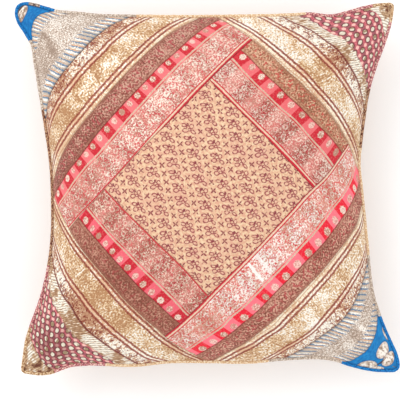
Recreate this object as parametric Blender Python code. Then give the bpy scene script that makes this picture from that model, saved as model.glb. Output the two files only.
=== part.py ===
"""A square patchwork cushion lying on its back: one filled body, and the piping sewn into the seam round it.

The plan is the outline of the seam: four ears, and four sides that pull in between them. The face rises
from that outline to its crown, and the back hangs below it and is pressed flat by what the cushion lies on.
Metres, +Z up, +Y towards the top of the face.
"""

import math
from collections import namedtuple

import bmesh
import bpy
import numpy as np

FACE_CROWN = 0.076  # the middle of the face above the seam
BACK_BELLY = 0.077  # the middle of the back below the seam, if nothing pressed on it
SEAM_HEIGHT = 0.060  # the seam above the floor at the middle of a side
EAR_DROOP = 0.009  # how far the seam sinks from there to an ear
PRESSED_EDGE = 0.004  # half the height over which the pressed flat runs out into the belly
PIPING_DIAMETER = 0.0041
SEWN_GAP = 0.0003
CELLS_A_SIDE = 40
PIPING_RINGS_A_SIDE = 40
POINTS_A_SIDE_LINE = 1200

# How full the sections are: a power of a half makes a round side, and a power of one a flat arc
FULLNESS_ACROSS = 0.60
FULLNESS_UP = 0.68

# An ear is where two sides would meet, and rounding is how far before it each side starts to turn
Ear = namedtuple("Ear", "x y rounding")
EARS = {
    "bottom_left": Ear(x=-0.1907, y=-0.1890, rounding=0.0015),
    "bottom_right": Ear(x=0.1980, y=-0.1878, rounding=0.0060),
    "top_right": Ear(x=0.1913, y=0.1904, rounding=0.0015),
    "top_left": Ear(x=-0.1983, y=0.1915, rounding=0.0105),
}

# How far a side pulls in from the straight line between its ears, at a share of the way along that line
Pull = namedtuple("Pull", "share depth")
BOTTOM_SIDE = (  # from the bottom left ear to the bottom right one
    Pull(0.000, 0.0000),
    Pull(0.040, -0.0019),
    Pull(0.068, -0.0008),
    Pull(0.097, 0.0033),
    Pull(0.122, 0.0066),
    Pull(0.155, 0.0080),
    Pull(0.310, 0.0075),
    Pull(0.370, 0.0103),
    Pull(0.490, 0.0110),
    Pull(0.605, 0.0102),
    Pull(0.700, 0.0134),
    Pull(0.835, 0.0117),
    Pull(0.880, 0.0060),
    Pull(0.940, 0.0009),
    Pull(1.000, 0.0000),
)
TOP_SIDE = (  # from the top left ear to the top right one
    Pull(0.000, 0.0000),
    Pull(0.035, 0.0010),
    Pull(0.075, 0.0052),
    Pull(0.108, 0.0089),
    Pull(0.150, 0.0103),
    Pull(0.215, 0.0130),
    Pull(0.300, 0.0138),
    Pull(0.620, 0.0134),
    Pull(0.725, 0.0122),
    Pull(0.785, 0.0110),
    Pull(0.842, 0.0128),
    Pull(0.885, 0.0090),
    Pull(0.928, 0.0041),
    Pull(0.962, 0.0013),
    Pull(1.000, 0.0000),
)
LEFT_SIDE = (  # from the bottom left ear to the top left one
    Pull(0.000, 0.0000),
    Pull(0.035, 0.0021),
    Pull(0.080, 0.0053),
    Pull(0.130, 0.0116),
    Pull(0.180, 0.0192),
    Pull(0.270, 0.0289),
    Pull(0.370, 0.0345),
    Pull(0.460, 0.0356),
    Pull(0.570, 0.0344),
    Pull(0.660, 0.0302),
    Pull(0.750, 0.0253),
    Pull(0.850, 0.0195),
    Pull(0.893, 0.0171),
    Pull(0.926, 0.0104),
    Pull(0.958, 0.0029),
    Pull(1.000, 0.0000),
)
RIGHT_SIDE = (  # from the bottom right ear to the top right one
    Pull(0.000, 0.0000),
    Pull(0.034, 0.0026),
    Pull(0.080, 0.0100),
    Pull(0.125, 0.0171),
    Pull(0.163, 0.0219),
    Pull(0.202, 0.0262),
    Pull(0.250, 0.0289),
    Pull(0.336, 0.0316),
    Pull(0.422, 0.0343),
    Pull(0.500, 0.0368),
    Pull(0.567, 0.0388),
    Pull(0.617, 0.0369),
    Pull(0.685, 0.0331),
    Pull(0.740, 0.0297),
    Pull(0.790, 0.0252),
    Pull(0.850, 0.0173),
    Pull(0.911, 0.0084),
    Pull(0.950, 0.0036),
    Pull(1.000, 0.0000),
)

# Soft troughs pressed into the face behind the ears. The heading is the run of the trough, in degrees from +X
Trough = namedtuple("Trough", "x y heading half_length half_width depth")
TROUGHS = (
    Trough(x=-0.160, y=0.147, heading=-62, half_length=0.024, half_width=0.011, depth=0.0045),
    Trough(x=0.139, y=0.146, heading=-48, half_length=0.020, half_width=0.009, depth=0.0040),
    Trough(x=-0.147, y=-0.152, heading=-38, half_length=0.020, half_width=0.010, depth=0.0035),
    Trough(x=0.150, y=-0.150, heading=40, half_length=0.022, half_width=0.011, depth=0.0030),
)

# A trough is at its full depth where the face stands this share of its crown above the seam
TROUGH_CLEAR_OF_SEAM = 0.33


def smooth_depths(rows, shares):
    """The depths between a table's rows, on one smooth curve through all of them."""
    at = np.array([row.share for row in rows])
    depth = np.array([row.depth for row in rows])
    slope = np.gradient(depth, at)
    span = np.clip(np.searchsorted(at, shares, side="right") - 1, 0, len(at) - 2)
    width = at[span + 1] - at[span]
    t = (shares - at[span]) / width
    before, after = depth[span], depth[span + 1]
    leaving, arriving = slope[span] * width, slope[span + 1] * width
    return (
        before * (1 + 2 * t) * (1 - t) ** 2
        + leaving * t * (1 - t) ** 2
        + after * t**2 * (3 - 2 * t)
        - arriving * t**2 * (1 - t)
    )


def side_line(start, end, rows, inward):
    """A side from one ear to the next, as points: straight but for its pull, with half of each ear's turn."""
    ends = np.array([(start.x, start.y), (end.x, end.y)])
    length = np.linalg.norm(ends[1] - ends[0])
    shares = np.linspace(0, 1, POINTS_A_SIDE_LINE)
    line = ends[0] + (ends[1] - ends[0]) * shares[:, None]
    line += np.array(inward) * smooth_depths(rows, shares)[:, None]
    for ear, from_ear in ((start, shares * length), (end, (1 - shares) * length)):
        turning = from_ear < ear.rounding
        # Half of a quadratic curve whose handle is the ear: both ways it leaves the ear by this much
        part_way = (1 - from_ear[turning] / ear.rounding) / 2
        leaves_by = ear.rounding * part_way**2
        along_side = np.sign(np.array([-ear.x, -ear.y])) * (1 - np.abs(inward))
        line[turning] += (np.array(inward) + along_side) * leaves_by[:, None]
    return line


def even_along(line, shares):
    """The points at these shares of a line's own length."""
    steps = np.linalg.norm(np.diff(line, axis=0), axis=1)
    along = np.concatenate([[0], np.cumsum(steps)])
    return np.stack([np.interp(shares * along[-1], along, line[:, axis]) for axis in (0, 1)], axis=-1)


SIDES = {
    "bottom": side_line(EARS["bottom_left"], EARS["bottom_right"], BOTTOM_SIDE, (0, 1)),
    "top": side_line(EARS["top_left"], EARS["top_right"], TOP_SIDE, (0, -1)),
    "left": side_line(EARS["bottom_left"], EARS["top_left"], LEFT_SIDE, (1, 0)),
    "right": side_line(EARS["bottom_right"], EARS["top_right"], RIGHT_SIDE, (-1, 0)),
}


def plan_point(across, up):
    """The plan of the cloth, from -1 to 1 across and from -1 to 1 up, stretched between the four sides."""
    a, b = (across + 1) / 2, (up + 1) / 2
    bottom, top = even_along(SIDES["bottom"], a), even_along(SIDES["top"], a)
    left, right = even_along(SIDES["left"], b), even_along(SIDES["right"], b)
    a, b = a[:, None], b[:, None]
    between_sides = (1 - b) * bottom + b * top + (1 - a) * left + a * right
    bottom_chord = (1 - a) * SIDES["bottom"][0] + a * SIDES["bottom"][-1]
    top_chord = (1 - a) * SIDES["top"][0] + a * SIDES["top"][-1]
    return between_sides - (1 - b) * bottom_chord - b * top_chord


def seam_height(across, up):
    """The middle plane between face and back: level at the middles of the sides, lower at the ears."""
    return SEAM_HEIGHT - EAR_DROOP * (across * up) ** 2


def fullness(across, up):
    return np.maximum(1 - across**2, 0) ** FULLNESS_ACROSS * np.maximum(1 - up**2, 0) ** FULLNESS_UP


def trough_depth(x, y):
    depth = np.zeros_like(x)
    for trough in TROUGHS:
        heading = math.radians(trough.heading)
        along = (x - trough.x) * math.cos(heading) + (y - trough.y) * math.sin(heading)
        beside = (y - trough.y) * math.cos(heading) - (x - trough.x) * math.sin(heading)
        reach = (along / trough.half_length) ** 2 + (beside / trough.half_width) ** 2
        depth += trough.depth * np.exp(-reach)
    return depth


def pressed(height):
    """Heights that a floor stops at 0, with a soft run-out at the edge of the pressed flat."""
    run_out = (height + PRESSED_EDGE) ** 2 / (4 * PRESSED_EDGE)
    return np.where(height >= PRESSED_EDGE, height, np.where(height <= -PRESSED_EDGE, 0, run_out))


def cloth_points(across, up, face):
    """Points of the face or of the back, as x, y and z."""
    plan = plan_point(across, up)
    seam, full = seam_height(across, up), fullness(across, up)
    if face:
        clear_of_seam = np.minimum(full / TROUGH_CLEAR_OF_SEAM, 1)
        height = seam + FACE_CROWN * full - trough_depth(plan[:, 0], plan[:, 1]) * clear_of_seam
    else:
        height = pressed(seam - BACK_BELLY * full)
    return np.column_stack([plan, height])


def seam_ring(count):
    """Points round the seam, anticlockwise, with this many to a side, close together at the ears."""
    t = np.sin(np.linspace(-math.pi / 2, math.pi / 2, count + 1)[:-1])
    one = np.ones_like(t)
    across = np.concatenate([t, one, -t, -one])
    up = np.concatenate([-one, t, one, -t])
    return np.column_stack([plan_point(across, up), seam_height(across, up)])


def piping_points():
    """The centre line of the piping: the seam, moved outwards by the piping's radius and the sewn gap."""
    ring = seam_ring(PIPING_RINGS_A_SIDE)
    tangent = np.roll(ring, -1, axis=0) - np.roll(ring, 1, axis=0)
    outward = np.column_stack([tangent[:, 1], -tangent[:, 0]])
    outward /= np.linalg.norm(outward, axis=1)[:, None]
    moved = ring.copy()
    moved[:, :2] += outward * (PIPING_DIAMETER / 2 + SEWN_GAP)
    return moved


def middle_of_plan():
    """The middle of the box round the piping, which is where the object's origin goes."""
    ring = piping_points()
    return (ring[:, :2].min(axis=0) + ring[:, :2].max(axis=0)) / 2


def material(name, colour, roughness, metallic):
    made = bpy.data.materials.new(name)
    made.use_nodes = True
    shader = made.node_tree.nodes["Principled BSDF"]
    shader.inputs["Base Color"].default_value = (*colour, 1)
    shader.inputs["Roughness"].default_value = roughness
    shader.inputs["Metallic"].default_value = metallic
    return made


def make_cushion(collection, middle):
    """The filled cover: a grid for the face and one for the back, sewn to each other along the seam."""
    bm = bmesh.new()
    for face in (True, False):
        made = bmesh.ops.create_grid(bm, x_segments=CELLS_A_SIDE, y_segments=CELLS_A_SIDE, size=1)
        verts = made["verts"]
        even = np.array([vert.co[:2] for vert in verts])
        across, up = np.sin(even * math.pi / 2).T
        for vert, point in zip(verts, cloth_points(across, up, face)):
            vert.co = (point[0] - middle[0], point[1] - middle[1], point[2])
        if not face:
            bmesh.ops.reverse_faces(bm, faces=list({f for vert in verts for f in vert.link_faces}))
    bmesh.ops.remove_doubles(bm, verts=bm.verts, dist=1e-6)
    mesh = bpy.data.meshes.new("cushion")
    bm.to_mesh(mesh)
    bm.free()
    mesh.shade_smooth()
    mesh.materials.append(material("zari_patchwork", (0.66, 0.42, 0.27), 0.62, 0.0))
    cushion = bpy.data.objects.new("cushion", mesh)
    collection.objects.link(cushion)
    return cushion


def make_piping(collection, middle):
    """The corded edging: a thin tube that follows the seam all the way round."""
    curve = bpy.data.curves.new("piping", "CURVE")
    curve.dimensions = "3D"
    curve.bevel_depth = PIPING_DIAMETER / 2
    curve.bevel_resolution = 2
    points = piping_points()
    spline = curve.splines.new("POLY")
    spline.points.add(len(points) - 1)
    for target, point in zip(spline.points, points):
        target.co = (point[0] - middle[0], point[1] - middle[1], point[2], 1)
    spline.use_cyclic_u = True
    spline.use_smooth = True
    curve.materials.append(material("gold_piping", (0.60, 0.44, 0.22), 0.55, 0.0))
    piping = bpy.data.objects.new("piping", curve)
    collection.objects.link(piping)
    return piping


for old in list(bpy.data.objects):
    bpy.data.objects.remove(old, do_unlink=True)
cushion_cover = bpy.data.collections.new("cushion_cover")
bpy.context.scene.collection.children.link(cushion_cover)
plan_middle = middle_of_plan()
make_cushion(cushion_cover, plan_middle)
make_piping(cushion_cover, plan_middle)
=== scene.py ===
"""A square cushion in a patchwork cover of zari borders and block print, lying on its back.

The cloth is described flat, in millimetres, as it is cut and sewn, and then laid on the filled body.
"""

import math
from collections import namedtuple

import bmesh
import bpy
import numpy as np
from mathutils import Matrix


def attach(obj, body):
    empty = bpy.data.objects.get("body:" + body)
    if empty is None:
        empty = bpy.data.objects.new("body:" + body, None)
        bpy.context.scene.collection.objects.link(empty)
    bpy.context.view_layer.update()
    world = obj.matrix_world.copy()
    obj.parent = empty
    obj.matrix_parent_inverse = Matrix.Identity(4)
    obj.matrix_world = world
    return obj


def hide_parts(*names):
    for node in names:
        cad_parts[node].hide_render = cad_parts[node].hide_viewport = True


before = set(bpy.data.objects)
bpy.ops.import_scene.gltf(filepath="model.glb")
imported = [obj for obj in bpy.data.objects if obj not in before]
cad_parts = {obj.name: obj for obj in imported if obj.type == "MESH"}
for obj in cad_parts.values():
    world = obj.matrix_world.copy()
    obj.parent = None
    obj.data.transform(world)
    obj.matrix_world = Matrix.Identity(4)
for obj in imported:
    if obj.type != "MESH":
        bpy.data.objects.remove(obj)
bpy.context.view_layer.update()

# The back panel, and the filled body that the cover is stretched over. The back is one square of plain tan
# cotton, sewn to the face in the piping's seam, and the photograph doesn't show it. The fibre filling
# crowns the face, draws the sides in between the ears and lies pressed flat on the floor.
FACE_CROWN = 0.076
BACK_BELLY = 0.077
SEAM_HEIGHT = 0.060
EAR_DROOP = 0.009
PRESSED_EDGE = 0.004
POINTS_A_SIDE_LINE = 1200

# The smaller the fullness, the sooner the stuffed cloth rises from its seams
FULLNESS_ACROSS = 0.60
FULLNESS_UP = 0.68
TROUGH_CLEAR_OF_SEAM = 0.33

Ear = namedtuple("Ear", "x y rounding")
EARS = {
    "bottom_left": Ear(x=-0.1907, y=-0.1890, rounding=0.0015),
    "bottom_right": Ear(x=0.1980, y=-0.1878, rounding=0.0060),
    "top_right": Ear(x=0.1913, y=0.1904, rounding=0.0015),
    "top_left": Ear(x=-0.1983, y=0.1915, rounding=0.0105),
}

# How far each side pulls in, at a share of the way along the straight line between its ears
Pull = namedtuple("Pull", "share depth")
BOTTOM_SIDE = (
    Pull(0.000, 0.0000), Pull(0.040, -0.0019), Pull(0.068, -0.0008), Pull(0.097, 0.0033),
    Pull(0.122, 0.0066), Pull(0.155, 0.0080), Pull(0.310, 0.0075), Pull(0.370, 0.0103),
    Pull(0.490, 0.0110), Pull(0.605, 0.0102), Pull(0.700, 0.0134), Pull(0.835, 0.0117),
    Pull(0.880, 0.0060), Pull(0.940, 0.0009), Pull(1.000, 0.0000),
)
TOP_SIDE = (
    Pull(0.000, 0.0000), Pull(0.035, 0.0010), Pull(0.075, 0.0052), Pull(0.108, 0.0089),
    Pull(0.150, 0.0103), Pull(0.215, 0.0130), Pull(0.300, 0.0138), Pull(0.620, 0.0134),
    Pull(0.725, 0.0122), Pull(0.785, 0.0110), Pull(0.842, 0.0128), Pull(0.885, 0.0090),
    Pull(0.928, 0.0041), Pull(0.962, 0.0013), Pull(1.000, 0.0000),
)
LEFT_SIDE = (
    Pull(0.000, 0.0000), Pull(0.035, 0.0021), Pull(0.080, 0.0053), Pull(0.130, 0.0116),
    Pull(0.180, 0.0192), Pull(0.270, 0.0289), Pull(0.370, 0.0345), Pull(0.460, 0.0356),
    Pull(0.570, 0.0344), Pull(0.660, 0.0302), Pull(0.750, 0.0253), Pull(0.850, 0.0195),
    Pull(0.893, 0.0171), Pull(0.926, 0.0104), Pull(0.958, 0.0029), Pull(1.000, 0.0000),
)
RIGHT_SIDE = (
    Pull(0.000, 0.0000), Pull(0.034, 0.0026), Pull(0.080, 0.0100), Pull(0.125, 0.0171),
    Pull(0.163, 0.0219), Pull(0.202, 0.0262), Pull(0.250, 0.0289), Pull(0.336, 0.0316),
    Pull(0.422, 0.0343), Pull(0.500, 0.0368), Pull(0.567, 0.0388), Pull(0.617, 0.0369),
    Pull(0.685, 0.0331), Pull(0.740, 0.0297), Pull(0.790, 0.0252), Pull(0.850, 0.0173),
    Pull(0.911, 0.0084), Pull(0.950, 0.0036), Pull(1.000, 0.0000),
)

# Soft troughs pressed into the face behind the ears. The heading is in degrees from +X
Trough = namedtuple("Trough", "x y heading half_length half_width depth")
TROUGHS = (
    Trough(x=-0.160, y=0.147, heading=-62, half_length=0.024, half_width=0.011, depth=0.0045),
    Trough(x=0.139, y=0.146, heading=-48, half_length=0.020, half_width=0.009, depth=0.0040),
    Trough(x=-0.147, y=-0.152, heading=-38, half_length=0.020, half_width=0.010, depth=0.0035),
    Trough(x=0.150, y=-0.150, heading=40, half_length=0.022, half_width=0.011, depth=0.0030),
)


def smooth(at, values, where):
    """The values between a table's rows, on one smooth curve through all of them."""
    at, values = np.asarray(at, float), np.asarray(values, float)
    slope = np.gradient(values, at)
    where = np.clip(where, at[0], at[-1])
    span = np.clip(np.searchsorted(at, where, side="right") - 1, 0, len(at) - 2)
    width = at[span + 1] - at[span]
    t = (where - at[span]) / width
    leaving, arriving = slope[span] * width, slope[span + 1] * width
    return (
        values[span] * (1 + 2 * t) * (1 - t) ** 2
        + leaving * t * (1 - t) ** 2
        + values[span + 1] * t**2 * (3 - 2 * t)
        - arriving * t**2 * (1 - t)
    )


def side_line(start, end, rows, inward):
    """A side from one ear to the next: straight but for its pull, with half of each ear's turn."""
    ends = np.array([(start.x, start.y), (end.x, end.y)])
    length = np.linalg.norm(ends[1] - ends[0])
    shares = np.linspace(0, 1, POINTS_A_SIDE_LINE)
    line = ends[0] + (ends[1] - ends[0]) * shares[:, None]
    depths = smooth([row.share for row in rows], [row.depth for row in rows], shares)
    line += np.array(inward) * depths[:, None]
    for ear, from_ear in ((start, shares * length), (end, (1 - shares) * length)):
        turning = from_ear < ear.rounding
        part_way = (1 - from_ear[turning] / ear.rounding) / 2
        leaves_by = ear.rounding * part_way**2
        along_side = np.sign(np.array([-ear.x, -ear.y])) * (1 - np.abs(inward))
        line[turning] += (np.array(inward) + along_side) * leaves_by[:, None]
    return line


def even_along(line, shares):
    """The points at these shares of a line's own length."""
    steps = np.linalg.norm(np.diff(line, axis=0), axis=1)
    along = np.concatenate([[0], np.cumsum(steps)])
    return np.stack([np.interp(shares * along[-1], along, line[:, axis]) for axis in (0, 1)], axis=-1)


SIDE_LINES = {
    "bottom": side_line(EARS["bottom_left"], EARS["bottom_right"], BOTTOM_SIDE, (0, 1)),
    "top": side_line(EARS["top_left"], EARS["top_right"], TOP_SIDE, (0, -1)),
    "left": side_line(EARS["bottom_left"], EARS["top_left"], LEFT_SIDE, (1, 0)),
    "right": side_line(EARS["bottom_right"], EARS["top_right"], RIGHT_SIDE, (-1, 0)),
}


def plan_point(across, up):
    """The plan of the cloth, from -1 to 1 across and from -1 to 1 up, stretched between the four sides."""
    a, b = (across + 1) / 2, (up + 1) / 2
    bottom, top = even_along(SIDE_LINES["bottom"], a), even_along(SIDE_LINES["top"], a)
    left, right = even_along(SIDE_LINES["left"], b), even_along(SIDE_LINES["right"], b)
    a, b = a[:, None], b[:, None]
    between_sides = (1 - b) * bottom + b * top + (1 - a) * left + a * right
    bottom_chord = (1 - a) * SIDE_LINES["bottom"][0] + a * SIDE_LINES["bottom"][-1]
    top_chord = (1 - a) * SIDE_LINES["top"][0] + a * SIDE_LINES["top"][-1]
    return between_sides - (1 - b) * bottom_chord - b * top_chord


def seam_height(across, up):
    """The middle plane between face and back: level at the middles of the sides, lower at the ears."""
    return SEAM_HEIGHT - EAR_DROOP * (across * up) ** 2


def trough_depth(x, y):
    depth = np.zeros_like(x)
    for trough in TROUGHS:
        heading = math.radians(trough.heading)
        along = (x - trough.x) * math.cos(heading) + (y - trough.y) * math.sin(heading)
        beside = (y - trough.y) * math.cos(heading) - (x - trough.x) * math.sin(heading)
        reach = (along / trough.half_length) ** 2 + (beside / trough.half_width) ** 2
        depth += trough.depth * np.exp(-reach)
    return depth


def pressed(height):
    """Heights that a floor stops at 0, with a soft run-out at the edge of the pressed flat."""
    run_out = (height + PRESSED_EDGE) ** 2 / (4 * PRESSED_EDGE)
    return np.where(height >= PRESSED_EDGE, height, np.where(height <= -PRESSED_EDGE, 0, run_out))


def body_points(across, up, face):
    """Points of the filled body's face or back, as x, y and z."""
    plan = plan_point(across, up)
    seam = seam_height(across, up)
    full = np.maximum(1 - across**2, 0) ** FULLNESS_ACROSS * np.maximum(1 - up**2, 0) ** FULLNESS_UP
    if face:
        clear_of_seam = np.minimum(full / TROUGH_CLEAR_OF_SEAM, 1)
        height = seam + FACE_CROWN * full - trough_depth(plan[:, 0], plan[:, 1]) * clear_of_seam
    else:
        height = pressed(seam - BACK_BELLY * full)
    return np.column_stack([plan, height])


# Each side of the flat panel measures 392 mm inside its seams. A flat point is carried to the body by its
# share of the middle section that crosses the face, so the sewn lines keep their run.
MM = 0.001
PANEL_HALF = 196.0
MIDDLE_POINTS = 801
NORMAL_STEP = 0.4


def shares_of_middle(across_it):
    """Places along a middle section of the face and the body's own measure at each, from -1 to 1."""
    measure = np.sin(np.linspace(-1, 1, MIDDLE_POINTS) * math.pi / 2)
    still = np.zeros_like(measure)
    middle = body_points(measure, still, True) if across_it else body_points(still, measure, True)
    steps = np.linalg.norm(np.diff(middle, axis=0), axis=1)
    walked = np.concatenate([[0], np.cumsum(steps)])
    return walked / walked[-1] * 2 - 1, measure


MIDDLE_ACROSS = shares_of_middle(True)
MIDDLE_UP = shares_of_middle(False)


def carried(flat_x, flat_y, face=True):
    """Points of the body under flat points of the panel, which are in millimetres from its middle."""
    across = np.interp(flat_x / PANEL_HALF, *MIDDLE_ACROSS)
    up = np.interp(flat_y / PANEL_HALF, *MIDDLE_UP)
    return body_points(across, up, face)


def carried_with_normals(flat_x, flat_y, face=True):
    """The same points with the way out of the surface at each."""
    flat_x = np.clip(flat_x, -PANEL_HALF, PANEL_HALF)
    flat_y = np.clip(flat_y, -PANEL_HALF, PANEL_HALF)
    here = carried(flat_x, flat_y, face)
    step_x = np.where(flat_x > 0, -NORMAL_STEP, NORMAL_STEP)
    step_y = np.where(flat_y > 0, -NORMAL_STEP, NORMAL_STEP)
    beside = carried(flat_x + step_x, flat_y, face) - here
    above = carried(flat_x, flat_y + step_y, face) - here
    normal = np.cross(beside, above) * np.sign(step_x * step_y)[:, None]
    normal /= np.maximum(np.linalg.norm(normal, axis=1), 1e-12)[:, None]
    return here, normal if face else -normal


# A seam draws the cloth down beside it, and each piece's turning goes under. All in millimetres
SEAM_GAP = 0.12
SEAM_DIP = 0.9
SEAM_DIP_REACH = 1.5
TURNING = 1.8
PUCKER = 0.16
PUCKER_REACH = 5.0
RIM_SWELL = 2.2
RIM_SWELL_REACH = 3.5
NEAR_SEAM = (0.0, 0.35, 0.8, 1.4, 2.2, 3.2)
CELL = 1.25

# The puckers lie this much closer than a plain ripple, the filling stretches the cloth this much, and a
# corner's points this near, in metres, are one
PUCKERS_CLOSER = 1.3
STUFFED_STRETCH = 1.01
ONE_POINT = 1e-7


def spaced(length):
    """Shares of a length, close together by its two ends and a cell apart between them."""
    near = [step for step in NEAR_SEAM if step < length / 3]
    middle = np.arange(near[-1], length - near[-1], CELL)[1:]
    steps = np.concatenate([near, middle, [length - step for step in reversed(near)]])
    return steps / length


# A cut piece, as grids of its places along and out on its side, its flat x and y, and the way to its seam
Cut = namedtuple("Cut", "along out flat_x flat_y to_seam")


def ripple(x, y):
    """A gentle unevenness between -1 and 1, the same each run."""
    return (
        np.sin(0.61 * x + 1.3 * np.sin(0.17 * y)) * np.sin(0.53 * y + 1.1 * np.sin(0.13 * x))
        + 0.5 * np.sin(0.23 * x - 0.31 * y + 2.0)
    ) / 1.5


def grid_faces(rows, columns):
    corner = np.arange(rows * columns).reshape(rows, columns)
    around = (corner[:-1, :-1], corner[:-1, 1:], corner[1:, 1:], corner[1:, :-1])
    return np.stack(around, axis=-1).reshape(-1, 4)


def rim_of(rows, columns):
    """The grid's outer points in order round it."""
    corner = np.arange(rows * columns).reshape(rows, columns)
    return np.concatenate([corner[0, :-1], corner[:-1, -1], corner[-1, :0:-1], corner[:0:-1, 0]])


def laid_on_body(piece, face):
    """A piece's points on the body, dipped and puckered at its seams, and the way out at each."""
    flat_x, flat_y, to_seam = piece.flat_x.ravel(), piece.flat_y.ravel(), piece.to_seam.ravel()
    points, normals = carried_with_normals(flat_x, flat_y, face)
    dip = SEAM_DIP * np.exp(-to_seam / SEAM_DIP_REACH)
    puckers = ripple(flat_x * PUCKERS_CLOSER, flat_y * PUCKERS_CLOSER)
    pucker = PUCKER * np.exp(-to_seam / PUCKER_REACH) * puckers
    from_rim = PANEL_HALF - np.maximum(abs(flat_x), abs(flat_y))
    swell = RIM_SWELL * np.exp(-from_rim / RIM_SWELL_REACH) if face else 0.0
    return points + normals * ((swell + pucker - dip) * MM)[:, None], normals


def turned_under(points, normals, rim):
    """Draws the rim in by the seam's gap, and gives the points of the turning below it."""
    inwards = points.mean(axis=0) - points[rim]
    inwards -= normals[rim] * np.sum(inwards * normals[rim], axis=1)[:, None]
    inwards /= np.maximum(np.linalg.norm(inwards, axis=1), 1e-9)[:, None]
    points[rim] += inwards * SEAM_GAP * MM
    return points[rim] - normals[rim] * TURNING * MM


def cloth_mesh(name, points, faces, pattern):
    """A mesh that carries at each point its place on the flat cloth and the way to its seam."""
    mesh = bpy.data.meshes.new(name)
    mesh.from_pydata(points.tolist(), [], faces.tolist())
    place = mesh.attributes.new("cloth_mm", "FLOAT_VECTOR", "POINT")
    place.data.foreach_set("vector", pattern.astype(np.float32).ravel())
    return mesh


def close_corners(mesh, face):
    """Joins the points that meet at a piece's corners, and turns its faces outwards."""
    bm = bmesh.new()
    bm.from_mesh(mesh)
    bmesh.ops.remove_doubles(bm, verts=bm.verts, dist=ONE_POINT)
    bmesh.ops.dissolve_degenerate(bm, edges=bm.edges, dist=ONE_POINT)
    bmesh.ops.recalc_face_normals(bm, faces=bm.faces)
    bm.faces.ensure_lookup_table()
    top = max(bm.faces, key=lambda each: abs(each.normal.z))
    if (top.normal.z > 0) != face:
        bmesh.ops.reverse_faces(bm, faces=bm.faces)
    bm.to_mesh(mesh)
    bm.free()


def put_in_scene(mesh, cloth):
    mesh.shade_smooth()
    mesh.materials.append(cloth.material)
    made = bpy.data.objects.new(mesh.name, mesh)
    bpy.context.scene.collection.objects.link(made)
    return made


def sew_piece(name, piece, pattern_x, pattern_y, cloth, face=True, marks=None):
    rows, columns = piece.flat_x.shape
    points, normals = laid_on_body(piece, face)
    rim = rim_of(rows, columns)
    turning = turned_under(points, normals, rim)
    below = len(points) + np.arange(len(rim))
    edge_faces = np.stack([rim, below, np.roll(below, -1), np.roll(rim, -1)], axis=-1)
    faces = np.concatenate([grid_faces(rows, columns), edge_faces])
    pattern = np.column_stack([pattern_x.ravel(), pattern_y.ravel(), piece.to_seam.ravel()])
    pattern = np.concatenate([pattern, pattern[rim]])
    mesh = cloth_mesh(name, np.concatenate([points, turning]), faces, pattern)
    for mark, values in (marks or {}).items():
        values = np.concatenate([values.ravel(), values.ravel()[rim]])
        mesh.attributes.new(mark, "FLOAT", "POINT").data.foreach_set("value", values.astype(np.float32))
    close_corners(mesh, face)
    made = put_in_scene(mesh, cloth)
    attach(made, "root")
    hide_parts("cushion")
    laid = points.reshape(rows, columns, 3)
    area = sum(polygon.area for polygon in mesh.polygons) / STUFFED_STRETCH**2
    length = np.linalg.norm(np.diff(laid, axis=1), axis=2).sum(axis=1).max() / STUFFED_STRETCH
    depth = np.linalg.norm(np.diff(laid[:, columns // 2], axis=0), axis=1).sum() / STUFFED_STRETCH
    length, depth = float(length) + 2 * TURNING * MM, float(depth) + 2 * TURNING * MM
    max(depth, area / length)


class Value:
    """One value of a cloth's shader. Sums, products and comparisons of it add Math nodes."""

    def __init__(self, cloth, socket):
        self.cloth = cloth
        self.socket = socket

    def math(self, operation, *others):
        inputs = dict(enumerate((self, *others)))
        return self.cloth.node("ShaderNodeMath", {"operation": operation}, inputs)

    def __add__(self, other):
        return self.math("ADD", other)

    def __sub__(self, other):
        return self.math("SUBTRACT", other)

    def __rsub__(self, other):
        return self.cloth.node("ShaderNodeMath", {"operation": "SUBTRACT"}, {0: other, 1: self})

    def __mul__(self, other):
        return self.math("MULTIPLY", other)

    def __truediv__(self, other):
        return self.math("DIVIDE", other)

    def __pow__(self, other):
        return self.math("POWER", other)

    def __abs__(self):
        return self.math("ABSOLUTE")

    __radd__ = __add__
    __rmul__ = __mul__

    def sine(self):
        return self.math("SINE")

    def least(self, other):
        return self.math("MINIMUM", other)

    def most(self, other):
        return self.math("MAXIMUM", other)

    def offset(self):
        """How far the value is from the nearest whole number, from -0.5 to 0.5."""
        return self - (self + 0.5).math("FLOOR")


def linear(colour):
    """A screen colour from 0 to 255 as a shader takes it. A value stays as it is."""
    if isinstance(colour, Value):
        return colour
    shares = [channel / 255 for channel in colour]
    return (*(s / 12.92 if s <= 0.04045 else ((s + 0.055) / 1.055) ** 2.4 for s in shares), 1.0)


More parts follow.
